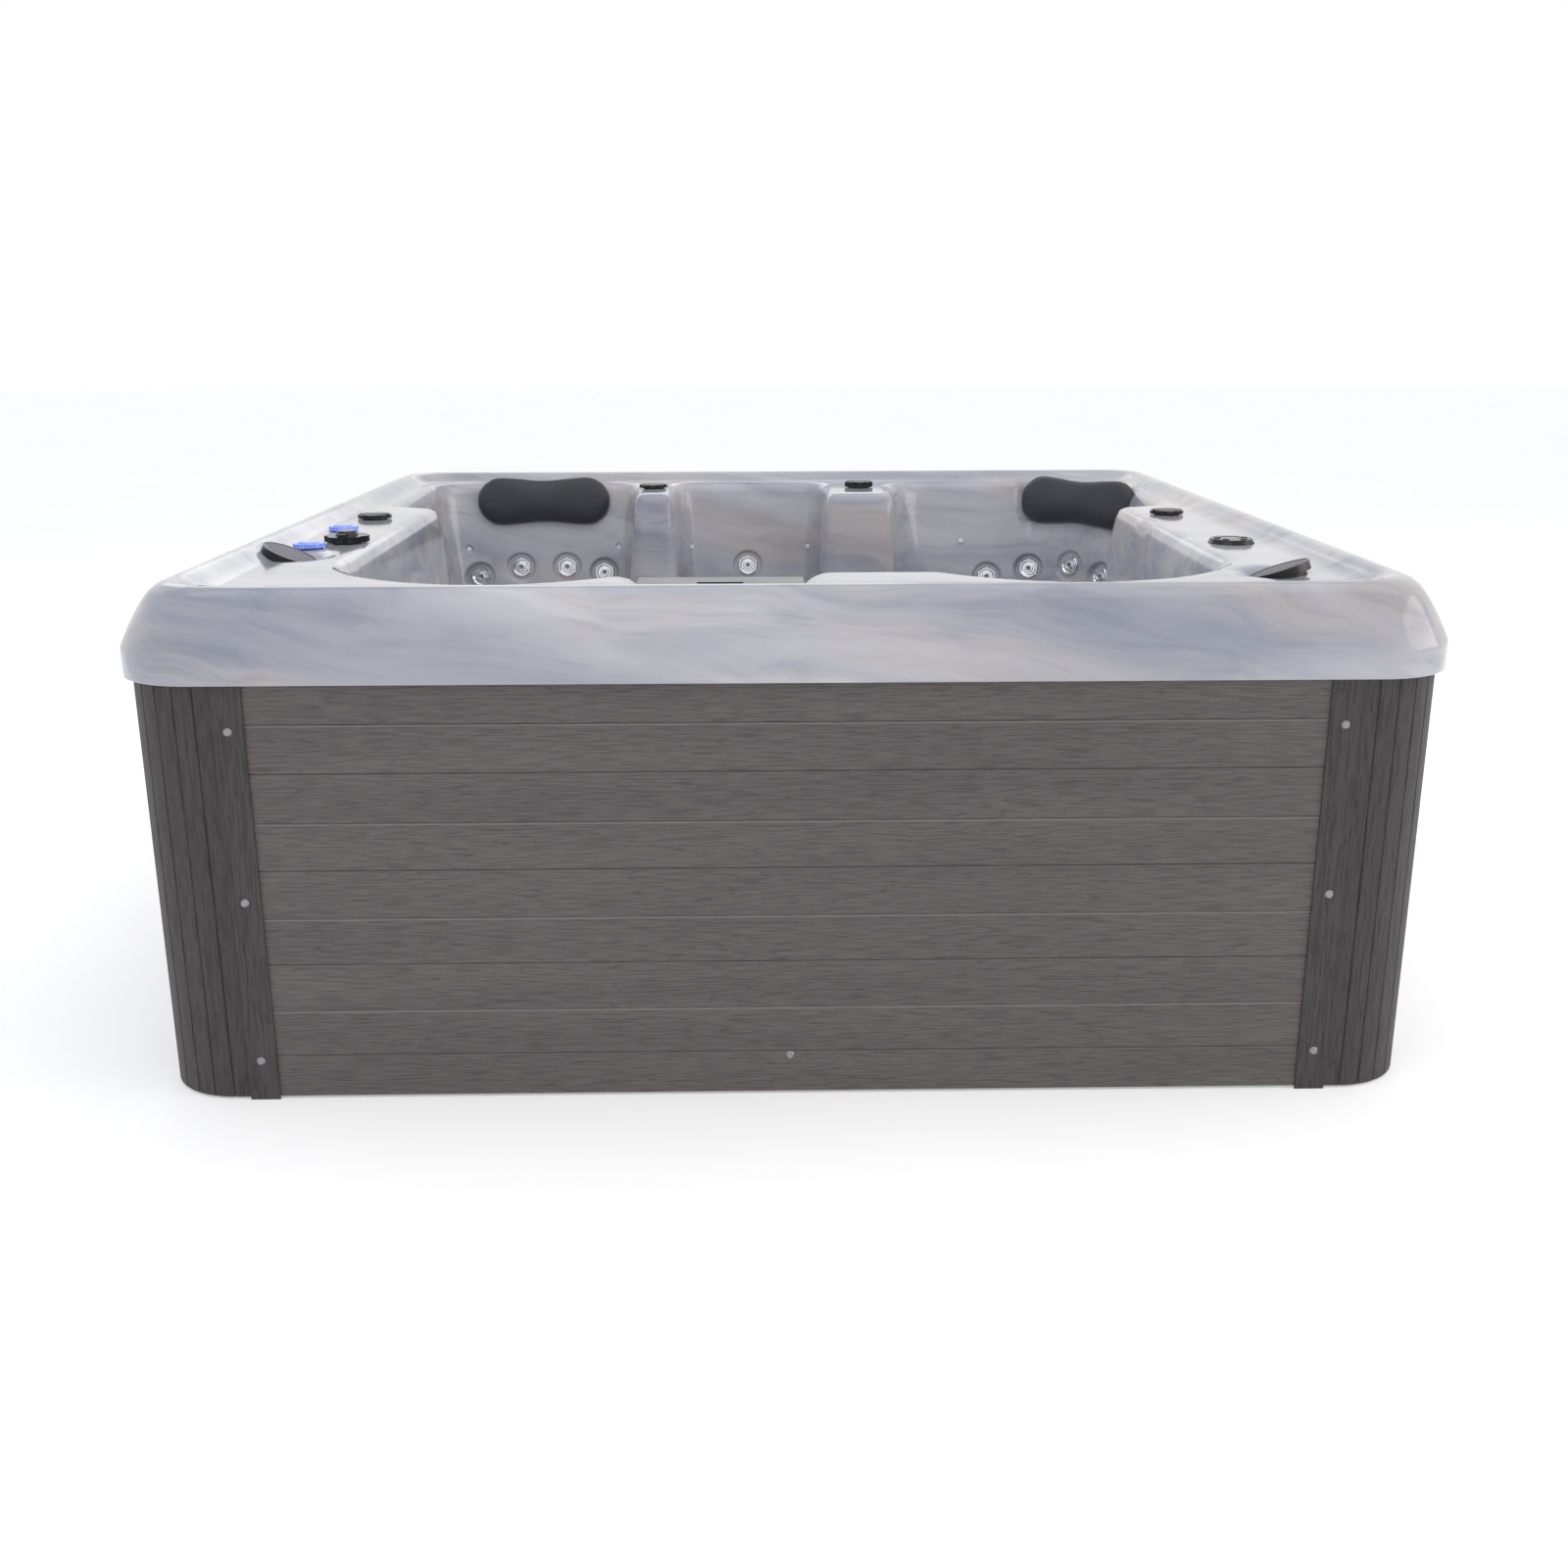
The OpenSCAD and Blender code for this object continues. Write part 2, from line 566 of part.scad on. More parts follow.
weir_z = 706;
weir_w = 150;
weir_h = 92;
well_bottom = 390;
well_x = 118;
well_y = 72;
wall = 6;
throat_y = FILTER[1] + 72;
hinge_y = FILTER[1] + 96;
cartridge_r = 62;
cartridge_h = 230;

module skimmer_housing() color([0.20, 0.20, 0.22]) translate([FILTER[0], FILTER[1], 0]) difference() {
    union() {
        box([-well_x - wall, -well_y - wall, well_bottom], [well_x + wall, well_y + wall, ledge_z - shell_t - 0.5]);
        box([-weir_w / 2 - wall, 0, weir_z - weir_h / 2 - wall], [weir_w / 2 + wall, throat_len, weir_z + weir_h / 2 + wall]);
        translate([0, 0, well_bottom - 40]) cylinder(r = 30, h = 41);
    }
    box([-well_x, -well_y, well_bottom + wall], [well_x, well_y, deck_z]);
    box([-weir_w / 2, 0, weir_z - weir_h / 2], [weir_w / 2, throat_len + 9, weir_z + weir_h / 2]);
    translate([0, 0, well_bottom - 41]) cylinder(r = 20 + fit_gap, h = 60);
    translate([-weir_w / 2 - 4, hinge_y - FILTER[1], weir_z - weir_h / 2 + 6])
        rotate([0, 90, 0]) cylinder(r = 3 + fit_gap, h = weir_w + 8);
}

// The throat stops just short of the back of the basin's wall.
throat_len = 103;

module filter_lid() color([0.10, 0.10, 0.11]) translate([FILTER[0], FILTER[1], ledge_z]) {
    box([-147, -88, 0.3], [147, 88, 8]);
    difference() {
        box([-112, -62, -14], [112, 62, 0.5]);
        box([-106, -56, -15], [106, 56, 0.1]);
    }
    box([-40, -8, 7], [40, 8, 14]);
}

module weir_door() color([0.12, 0.12, 0.13])
    translate([FILTER[0], hinge_y, weir_z - weir_h / 2 + 6]) {
        box([-weir_w / 2 + 2, -2.5, 0], [weir_w / 2 - 2, 2.5, weir_h - 14]);
        rotate([0, 90, 0]) cylinder(r = 3, h = weir_w + 6, center = true);
    }

module filter_cartridge() color("white") translate([FILTER[0], FILTER[1], well_bottom]) {
    translate([0, 0, wall + 0.3]) {
        cylinder(r = cartridge_r, h = 12);
        translate([0, 0, 12]) difference() {
            cylinder(r = cartridge_r - 3, h = cartridge_h - 24);
            for (a = [0:12:348]) rotate([0, 0, a])
                translate([cartridge_r - 4, 0, -1]) rotate([0, 0, 45]) cube([5, 5, 2 * cartridge_h], center = true);
        }
        translate([0, 0, cartridge_h - 12]) cylinder(r = cartridge_r, h = 12);
        translate([0, 0, cartridge_h - 1]) tube(34, 28, 14);
        translate([0, 0, -30]) cylinder(r = 20, h = 31);
    }
}

// ---------------------------------------------------------------- water and power equipment

module suction_covers() color([0.14, 0.14, 0.15]) for (s = [SUCTION_LEFT, SUCTION_RIGHT]) aim(s) difference() {
    union() {
        translate([0, 0, 0.3]) cylinder(r1 = suction_r + 14, r2 = suction_r + 6, h = 12);
        translate([0, 0, -40]) cylinder(r = neck_r, h = 41);
    }
    translate([0, 0, -42]) cylinder(r = neck_r - 5, h = 44);
    for (y = [-32:8:32]) translate([0, y, 9]) cube([2 * sqrt(37 * 37 - y * y), 3, 12], center = true);
}

module footwell_light() color("aliceblue") aim(LIGHT) {
    translate([0, 0, 0.3]) cylinder(r1 = light_r, r2 = light_r - 6, h = 6);
    translate([0, 0, 6.3]) cylinder(r1 = light_r - 10, r2 = light_r - 24, h = 5);
    translate([0, 0, -40]) cylinder(r = 32, h = 41);
}

// Pumps lie along X on the pan, each [side, y], with the wet end towards the middle.
PUMPS = [[-1, -800], [1, -800]];
pump_z = 140;
shaft_r = 8;
wet_x = 470;

module pump_place(p) translate([p[0] * wet_x, p[1], pump_z]) rotate([0, p[0] * 90, 0]) children();

module pump_motors() color([0.15, 0.16, 0.19]) for (p = PUMPS) {
    pump_place(p) difference() {
        union() {
            translate([0, 0, 66]) cylinder(r = 84, h = 16);
            translate([0, 0, 80]) cylinder(r = 78, h = 220);
            translate([0, 0, 298]) cylinder(r = 84, h = 24);
            for (a = [0:20:340]) rotate([0, 0, a]) translate([78, 0, 190]) cube([10, 3, 200], center = true);
        }
        translate([0, 0, 60]) cylinder(r = shaft_r + fit_gap, h = 160);
    }
    translate([p[0] * (wet_x + 190), p[1], 0]) box([-90, -80, pan_t], [90, 80, pump_z - 77]);
}

module pump_wet_ends() color([0.12, 0.12, 0.13]) for (p = PUMPS) {
    pump_place(p) difference() {
        union() {
            cylinder(r = 98, h = 65.7);
            translate([0, 0, -60]) cylinder(r = 38, h = 62);
        }
        translate([0, 0, 10]) cylinder(r = 84, h = 46);
        translate([0, 0, -61]) cylinder(r = 26, h = 80);
        translate([0, 0, 50]) cylinder(r = shaft_r + fit_gap, h = 30);
    }
    translate([p[0] * (wet_x + 33), p[1], pump_z + 90]) tube(32, 25, 70);
}

module impeller(p) color("ivory") pump_place(p) {
    translate([0, 0, 48]) cylinder(r = 70, h = 6);
    for (a = [0:60:300]) rotate([0, 0, a]) translate([40, 0, 35]) cube([58, 4, 28], center = true);
    translate([0, 0, 20]) cylinder(r = 18, h = 30);
    translate([0, 0, 50]) cylinder(r = shaft_r, h = 160);
}

module impeller_left() impeller(PUMPS[0]);
module impeller_right() impeller(PUMPS[1]);

module control_box() color([0.35, 0.37, 0.40]) {
    box([90, -1000, 250], [360, -880, 560]);
    box([110, -1006, 270], [340, -999, 540]);
    for (x = [130:38:320]) translate([x, -940, 232]) cylinder(r = 9, h = 20);
}

heater_z = 300;
module heater_tube() color("silver") translate([-320, -900, heater_z]) rotate([0, 90, 0]) difference() {
    union() {
        cylinder(r = 30, h = 380);
        for (z = [0, 354]) translate([0, 0, z]) cylinder(r = 40, h = 26);
        translate([0, 0, 190]) cube([90, 30, 120], center = true);
    }
    translate([0, 0, -1]) cylinder(r = 26, h = 382);
}

module plumbing() color("white") {
    pipe([[-wet_x - 33, -800, 300.5], [-wet_x - 33, -800, 390], [-wet_x - 33, -900, 390],
        [-wet_x - 33, -900, heater_z], [-320.5, -900, heater_z]], 24);
    pipe([[wet_x + 33, -800, 300.5], [wet_x + 33, -800, 370], [960, -800, 370], [960, 600, 370],
        [600, 960, 370], [-600, 960, 370], [-960, 600, 370], [-960, -800, 370]], 24);
    for (s = [-1, 1]) pipe([[s * 409.5, -800, pump_z], [s * 300, -800, pump_z], [s * 300, -480, pump_z],
        [s * 520, -480, pump_z], [s * 520, 20, pump_z], [s * 520, 20, 207], [s * 452, 20, 207]], 24);
}

module air_blower() color([0.15, 0.15, 0.17]) translate([-760, 720, pan_t]) {
    box([-70, -70, 0], [70, 70, 40]);
    translate([0, 0, 39]) cylinder(r = 75, h = 130);
    translate([0, 0, 168]) cylinder(r1 = 75, r2 = 40, h = 30);
    translate([0, 0, 197]) cylinder(r = 24, h = 60);
}

// Fittings through the back boards: [x, z, radius].
DRAIN = [-700, 120, 19];
GLAND = [700, 120, 14];

module drain_valve() color([0.12, 0.12, 0.13]) translate([DRAIN[0], clad_out, DRAIN[1]]) rotate([-90, 0, 0]) {
    difference() {
        union() {
            translate([0, 0, 0.3]) cylinder(r = 32, h = 8);
            translate([0, 0, -60]) cylinder(r = DRAIN[2], h = 74);
        }
        translate([0, 0, -40]) cylinder(r = 10, h = 90);
    }
}

module power_gland() color([0.20, 0.20, 0.22]) translate([GLAND[0], clad_out, GLAND[1]]) rotate([-90, 0, 0])
    difference() {
        union() {
            translate([0, 0, 0.3]) cylinder(r = 23, h = 12, $fn = 6);
            translate([0, 0, -40]) cylinder(r = GLAND[2], h = 54);
            translate([0, 0, -board_t - 14]) cylinder(r = 23, h = 12, $fn = 6);
        }
        translate([0, 0, -41]) cylinder(r = 9, h = 70);
    }

base_pan();
bottom_rails();
frame_posts();
top_rails();
insulation_boards();
front_boards();
back_boards();
left_boards();
right_boards();
corner_panels();
stiles();
cabinet_screws();
acrylic_shell();
pillow_left();
pillow_right();
speaker_housings();
speaker_grilles();
panel_bezel();
panel_display();
button_jets();
button_light();
button_warmer();
button_cooler();
valve_bodies();
diverter_knob();
knob_left_rear();
knob_back_left();
knob_back_right();
knob_right_rear();
air_valve_bodies();
air_knob_front();
air_knob_rear();
jet_housings();
jet_face_1();
jet_face_2();
jet_face_3();
jet_face_4();
jet_face_5();
jet_face_6();
jet_face_7();
jet_face_8();
jet_face_9();
fixed_jets();
led_points();
skimmer_housing();
filter_lid();
weir_door();
filter_cartridge();
suction_covers();
footwell_light();
pump_motors();
pump_wet_ends();
impeller_left();
impeller_right();
control_box();
heater_tube();
plumbing();
air_blower();
drain_valve();
power_gland();
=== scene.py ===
"""Looks of a square hot tub: streaked acrylic shell, wood-grain cabinet, pillows, jets and controls."""
import json
import math

import bmesh
import bpy
import numpy as np
import openvdb
from mathutils import Matrix, Vector
from mathutils.bvhtree import BVHTree


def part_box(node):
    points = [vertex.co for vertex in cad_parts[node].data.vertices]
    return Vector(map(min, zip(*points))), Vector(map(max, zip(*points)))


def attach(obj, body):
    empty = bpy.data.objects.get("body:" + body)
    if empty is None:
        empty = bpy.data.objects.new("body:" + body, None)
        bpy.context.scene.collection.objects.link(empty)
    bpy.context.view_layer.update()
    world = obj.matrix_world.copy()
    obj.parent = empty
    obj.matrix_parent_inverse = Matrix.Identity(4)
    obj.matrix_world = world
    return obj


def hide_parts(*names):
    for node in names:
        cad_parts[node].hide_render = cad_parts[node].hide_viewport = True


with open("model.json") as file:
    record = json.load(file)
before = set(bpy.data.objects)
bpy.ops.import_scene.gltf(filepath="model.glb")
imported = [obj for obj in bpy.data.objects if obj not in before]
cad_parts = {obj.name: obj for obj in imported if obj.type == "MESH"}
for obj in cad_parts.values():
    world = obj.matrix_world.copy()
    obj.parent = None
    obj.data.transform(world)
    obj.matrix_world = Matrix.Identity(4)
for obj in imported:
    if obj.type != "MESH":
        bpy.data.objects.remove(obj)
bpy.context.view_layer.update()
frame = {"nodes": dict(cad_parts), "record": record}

# ------------------------------------------------------------------ sizes, in metres

# The shell's outer edge, crest and lower edge.
SHELL_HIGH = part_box("acrylic_shell")[1]
LIP_HALF = SHELL_HIGH.x
CREST_Z = SHELL_HIGH.z
SKIRT_Z = CREST_Z - 0.151
CREASE_Z = CREST_Z - 0.104
LIP_R = 0.146
ACRYLIC_T = 0.008
# The basin is read on a grid, rounded, and meets the lip at the seam.
GRID = 0.010
ROUNDING = 0.013
SEAM_INSET = 0.084
FOOTWELL_LOW = 0.12
FOOTWELL_HIGH = 0.36
FILL_PASSES = 900
ABOVE = 1.2
DOWN = Vector((0, 0, -1))
# Round flats under the jets and small lamps, and how softly their edges blend.
RECESS_R = 0.0395
JET_TIP = 0.0095
LED_R = 0.010
LED_TIP = 0.0012
SOFT_IN = 0.004
SOFT_OUT = 0.003
# Pillows: the draw-in at the middle, and the cloth's limits.
PILLOW_PINCH = 0.009
PINNED = 0.008
SWELL_CAP = 0.006
SWELL_STEPS = 20
# Speaker grilles: radius, spacing of the holes and height of the dome.
GRILLE_R = 0.0485
PITCH = 0.0034
DOME = 0.0012
TUB = "tub"
JOINTS = {j["child"]: j for j in frame["record"]["behaviour"]["joints"]}
JET_NODES = sorted(n for n in frame["nodes"] if n.startswith("jet_face_"))


# ------------------------------------------------------------------ small helpers

def link(obj):
    bpy.context.scene.collection.objects.link(obj)
    return obj


def mesh_object(name, verts, faces, smooth=True):
    mesh = bpy.data.meshes.new(name)
    mesh.from_pydata([tuple(v) for v in verts], [], [tuple(f) for f in faces])
    mesh.validate()
    mesh.update()
    mesh.polygons.foreach_set("use_smooth", [smooth] * len(mesh.polygons))
    return link(bpy.data.objects.new(name, mesh))


def ring_faces(rings, count):
    """Quads that join each closed ring of count verts to the next."""
    return [(r * count + k, r * count + (k + 1) % count, (r + 1) * count + (k + 1) % count,
             (r + 1) * count + k) for r in range(rings - 1) for k in range(count)]


def coords(mesh):
    out = np.empty(3 * len(mesh.vertices))
    mesh.vertices.foreach_get("co", out)
    return out.reshape(-1, 3)


def place(obj, body, slot, *replaced):
    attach(obj, body)
    if replaced:
        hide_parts(*replaced)


def node_axis(node):
    """A hinge's point and unit axis, from the record."""
    joint = JOINTS[node]
    return Vector(joint["pos_m"]), Vector(joint["axis"]).normalized()


# ------------------------------------------------------------------ materials

class Nodes:
    """A short way to build a node tree."""

    def __init__(self, name, **values):
        self.mat = bpy.data.materials.new(name)
        self.mat.use_nodes = True
        self.tree = self.mat.node_tree
        self.bsdf = self.tree.nodes["Principled BSDF"]
        for key, value in values.items():
            self.bsdf.inputs[key.replace("_", " ")].default_value = value

    def add(self, kind, **props):
        node = self.tree.nodes.new("ShaderNode" + kind)
        for key, value in props.items():
            if hasattr(node, key):
                setattr(node, key, value)
            else:
                node.inputs[key.replace("_", " ")].default_value = value
        return node

    def join(self, source, target, socket):
        out = source if isinstance(source, bpy.types.NodeSocket) else source.outputs[0]
        self.tree.links.new(out, target.inputs[socket])

    def coords(self, scale=(1, 1, 1), rotation=(0, 0, 0), location=(0, 0, 0)):
        tex = self.add("TexCoord")
        mapping = self.add("Mapping", Scale=scale, Rotation=rotation, Location=location)
        self.join(tex.outputs["Object"], mapping, "Vector")
        return mapping

    def noise(self, vector, scale, detail=4.0, roughness=0.5, distortion=0.0):
        node = self.add("TexNoise", Scale=scale, Detail=detail, Roughness=roughness,
                        Distortion=distortion)
        self.join(vector, node, "Vector")
        return node

    def ramp(self, source, stops):
        node = self.add("ValToRGB")
        while len(node.color_ramp.elements) < len(stops):
            node.color_ramp.elements.new(0.5)
        for element, (pos, colour) in zip(node.color_ramp.elements, stops):
            element.position = pos
            element.color = (*colour, 1) if len(colour) == 3 else colour
        self.join(source, node, "Fac")
        return node

    def math(self, kind, a, b=0.5, c=None):
        node = self.add("Math", operation=kind)
        for i, value in enumerate((a, b, c)):
            if value is None:
                continue
            if isinstance(value, (int, float)):
                node.inputs[i].default_value = value
            else:
                self.join(value, node, i)
        return node

    def mix(self, fac, a, b, blend="MIX"):
        node = self.add("Mix", data_type="RGBA", blend_type=blend)
        for socket, value in (("Factor", fac), ("A", a), ("B", b)):
            target = [s for s in node.inputs if s.name == socket and s.enabled][0]
            if isinstance(value, (int, float)):
                target.default_value = value
            elif isinstance(value, tuple):
                target.default_value = (*value, 1)
            else:
                out = value if isinstance(value, bpy.types.NodeSocket) else value.outputs[0]
                self.tree.links.new(out, target)
        return [s for s in node.outputs if s.enabled][0]

    def bump(self, height, strength, distance):
        node = self.add("Bump", Strength=strength, Distance=distance)
        self.join(height, node, "Height")
        self.join(node, self.bsdf, "Normal")
        return node


def srgb(r, g, b):
    """A colour from 0 to 255 values, as linear light."""
    def linear(v):
        v /= 255
        return v / 12.92 if v <= 0.04045 else ((v + 0.055) / 1.055) ** 2.4
    return (linear(r), linear(g), linear(b))


def acrylic_material():
    """Polished acrylic with long swirled wisps of slate blue and warm sand in a pearl grey."""
    n = Nodes("acrylic", Roughness=0.13, Coat_Weight=0.35, Coat_Roughness=0.06, Specular_IOR_Level=0.45)
    warp = n.noise(n.coords(scale=(0.8, 1.0, 1.2), location=(3.1, 0.4, 1.7)), 1.3, 3, 0.5)
    swirl = n.add("VectorMath", operation="SCALE")
    n.join(warp.outputs["Color"], swirl, 0)
    swirl.inputs["Scale"].default_value = 0.30
    bent = n.add("VectorMath", operation="ADD")
    n.join(n.coords(rotation=(0, -0.12, 0.10)), bent, 0)
    n.join(swirl, bent, 1)

    def wisps(scale, place_at, size, detail, rough, distort):
        mapping = n.add("Mapping", Scale=scale, Location=place_at)
        n.join(bent, mapping, "Vector")
        return n.noise(mapping, size, detail, rough, distort)

    broad = wisps((0.55, 2.8, 3.6), (0.3, 0, 0), 1.5, 4, 0.5, 0.5)
    slate = wisps((0.60, 4.0, 5.4), (2.4, 6, 1), 1.5, 6, 0.6, 0.7)
    warm = wisps((0.60, 3.2, 4.2), (7.7, 5, 2), 1.4, 5, 0.55, 0.5)
    fine = wisps((0.9, 11.0, 15.0), (1.9, 2, 0), 1.8, 7, 0.66, 0.4)
    tone = n.ramp(broad, [(0.34, srgb(160, 162, 171)), (0.50, srgb(178, 178, 185)),
                          (0.66, srgb(192, 191, 196))])
    blue = n.ramp(slate, [(0.36, (0.8, 0.8, 0.8)), (0.46, (0.35, 0.35, 0.35)), (0.58, (0, 0, 0))])
    cooled = n.mix(blue, tone.outputs[0], srgb(140, 145, 159))
    sand = n.ramp(warm, [(0.50, (0, 0, 0)), (0.66, (0.75, 0.75, 0.75))])
    tinted = n.mix(sand, cooled, srgb(184, 174, 168))
    thread = n.ramp(fine, [(0.36, (0.78, 0.79, 0.83)), (0.5, (0.97, 0.97, 0.98)),
                           (0.66, (1.05, 1.045, 1.04))])
    n.join(n.mix(0.8, tinted, thread.outputs[0], "MULTIPLY"), n.bsdf, "Base Color")
    n.bump(n.noise(n.coords(), 55, 2, 0.5), 0.04, 0.0006)
    return n.mat


def wood_material(name, light, dark, along, seed):
    """Composite board with embossed wood grain running along one axis: 0 is X, 1 is Y, 2 is Z, with a
    painted highlight on faces turned upwards.
    """
    n = Nodes(name, Roughness=0.55, Specular_IOR_Level=0.35)
    stretch = [15.0, 15.0, 15.0]
    stretch[along] = 1.3
    warp = n.noise(n.coords(scale=stretch, location=(seed, 2 * seed, seed)), 2.2, 3, 0.5)
    pull = n.add("VectorMath", operation="SCALE")
    n.join(warp.outputs["Color"], pull, 0)
    pull.inputs["Scale"].default_value = 0.30
    bent = n.add("VectorMath", operation="ADD")
    n.join(n.coords(scale=stretch, location=(seed, seed, 3 * seed)), bent, 0)
    n.join(pull, bent, 1)
    rings = n.noise(bent, 1.5, 2, 0.45)
    bands = n.math("PINGPONG", n.math("MULTIPLY", rings, 30.0), 1.0)
    fibre_scale = [330.0, 330.0, 330.0]
    fibre_scale[along] = 17.0
    fibres = n.noise(n.coords(scale=fibre_scale, location=(seed, 0, seed)), 1.0, 3, 0.6)
    blotch = n.noise(n.coords(scale=[c * 0.5 for c in stretch]), 1.6, 3, 0.5)
    lines = n.ramp(bands, [(0.02, (0, 0, 0)), (0.22, (1, 1, 1))])
    threads = n.ramp(fibres, [(0.42, (0, 0, 0)), (0.52, (1, 1, 1))])
    height = n.math("MULTIPLY_ADD", lines.outputs[0], 0.4, n.math("MULTIPLY", threads.outputs[0], 0.6))
    shade = n.ramp(height, [(0.0, dark), (1.0, light)])
    patch = n.ramp(blotch, [(0.35, (0.9, 0.9, 0.9)), (0.65, (1.08, 1.07, 1.06))])
    grained = n.mix(1.0, shade.outputs[0], patch.outputs[0], "MULTIPLY")
    # Faces turned upwards, such as the top bevels of the boards, are mixed towards a colour nearly three
    # times lighter: a painted highlight from the overhead light.
    facing = n.add("SeparateXYZ")
    n.join(n.add("TexCoord").outputs["Normal"], facing, 0)
    painted_top_highlight = n.ramp(facing.outputs["Z"], [(0.42, (0, 0, 0)), (0.72, (0.6, 0.6, 0.6))])
    n.join(n.mix(painted_top_highlight, grained, tuple(min(1, 2.9 * c) for c in light)), n.bsdf, "Base Color")
    n.bump(height, 0.5, 0.0009)
    return n.mat


def moulded_material(name, colour, roughness, texture=0.25, grain=900.0):
    """Moulded plastic with a fine spark-eroded texture and a little uneven sheen."""
    n = Nodes(name, Specular_IOR_Level=0.45)
    mottle = n.noise(n.coords(), 18, 3, 0.5)
    tint = n.ramp(mottle, [(0.3, tuple(c * 0.9 for c in colour)),
                           (0.7, tuple(min(1, c * 1.1) for c in colour))])
    n.join(tint, n.bsdf, "Base Color")
    sheen = n.add("MapRange", From_Min=0.3, From_Max=0.7, To_Min=roughness - 0.04,
                  To_Max=roughness + 0.06)
    n.join(mottle, sheen, 0)
    n.join(sheen, n.bsdf, "Roughness")
    n.bump(n.noise(n.coords(), grain, 2, 0.6), texture, 0.0003)
    return n.mat


def metal_material(name, colour, roughness, brush=(1, 1, 1), strength=0.0):
    """Metal, polished or brushed along the short axis of brush."""
    n = Nodes(name, Metallic=1.0)
    grain = n.noise(n.coords(scale=brush), 60, 4, 0.6)
    tint = n.ramp(grain, [(0.3, tuple(c * 0.93 for c in colour)), (0.7, colour)])
    n.join(tint, n.bsdf, "Base Color")
    sheen = n.add("MapRange", From_Min=0.3, From_Max=0.7, To_Min=roughness * 0.8, To_Max=roughness * 1.3)
    n.join(grain, sheen, 0)
    n.join(sheen, n.bsdf, "Roughness")
    if strength:
        n.bump(grain, strength, 0.0003)
    return n.mat


def pillow_material():
    """Soft-touch skin: nearly black, matt, with a fine leather-like pebble."""
    n = Nodes("pillow_skin", Roughness=0.42, Specular_IOR_Level=0.4, Sheen_Weight=0.25,
              Sheen_Roughness=0.45)
    pebble = n.add("TexVoronoi", feature="SMOOTH_F1", Scale=520.0, Smoothness=0.6)
    n.join(n.coords(), pebble, "Vector")
    broad = n.noise(n.coords(), 9, 2, 0.5)
    tint = n.ramp(broad, [(0.3, srgb(44, 45, 52)), (0.7, srgb(54, 55, 63))])
    n.join(tint, n.bsdf, "Base Color")
    n.bump(pebble, 0.22, 0.0004)
    return n.mat


def grille_material():
    """Painted speaker mesh, darker at the middles of small cells and lighter between them: painted shade
    standing for its holes.
    """
    n = Nodes("grille", Roughness=0.5, Metallic=0.15)
    cells = n.add("TexVoronoi", feature="F1", Scale=430.0, Randomness=0.12)
    n.join(n.coords(), cells, "Vector")
    # The darker colour at the cell middles is painted shade for the holes; the lighter colour lies between
    # them.
    holes = n.ramp(cells.outputs["Distance"], [(0.20, srgb(92, 90, 98)), (0.46, srgb(132, 130, 139))])
    n.join(holes, n.bsdf, "Base Color")
    n.bump(cells.outputs["Distance"], 0.5, 0.0006)
    return n.mat


def lit_material():
    """Translucent blue with a faint glow from the lamp behind it."""
    n = Nodes("lit_blue", Roughness=0.22, Specular_IOR_Level=0.5, Subsurface_Weight=0.25,
              Emission_Strength=0.35)
    cloud = n.noise(n.coords(), 45, 3, 0.5)
    tint = n.ramp(cloud, [(0.3, srgb(112, 134, 222)), (0.7, srgb(150, 168, 240))])
    n.join(tint, n.bsdf, "Base Color")
    n.join(tint, n.bsdf, "Emission Color")
    n.bsdf.inputs["Subsurface Radius"].default_value = (0.004, 0.005, 0.01)
    return n.mat


def timber_material():
    n = Nodes("timber", Roughness=0.7)
    rings = n.add("TexWave", wave_type="RINGS", Scale=9.0, Distortion=5.0, Detail=3.0)
    n.join(n.coords(scale=(1, 1, 0.3)), rings, "Vector")
    tint = n.ramp(rings, [(0.2, srgb(178, 142, 98)), (0.8, srgb(208, 176, 130))])
    n.join(tint, n.bsdf, "Base Color")
    n.bump(rings, 0.15, 0.0008)
    return n.mat


def display_material():
    """Tinted lens over a pale display."""
    n = Nodes("display", Roughness=0.08, Coat_Weight=0.8, Coat_Roughness=0.02)
    haze = n.noise(n.coords(), 30, 2, 0.5)
    tint = n.ramp(haze, [(0.3, srgb(150, 148, 186)), (0.7, srgb(178, 176, 208))])
    n.join(tint, n.bsdf, "Base Color")
    return n.mat


def lens_material():
    n = Nodes("lens", Roughness=0.12, Coat_Weight=0.5)
    ribs = n.noise(n.coords(), 160, 2, 0.5)
    tint = n.ramp(ribs, [(0.3, srgb(206, 212, 222)), (0.7, srgb(232, 236, 242))])
    n.join(tint, n.bsdf, "Base Color")
    n.bump(ribs, 0.2, 0.0005)
    return n.mat


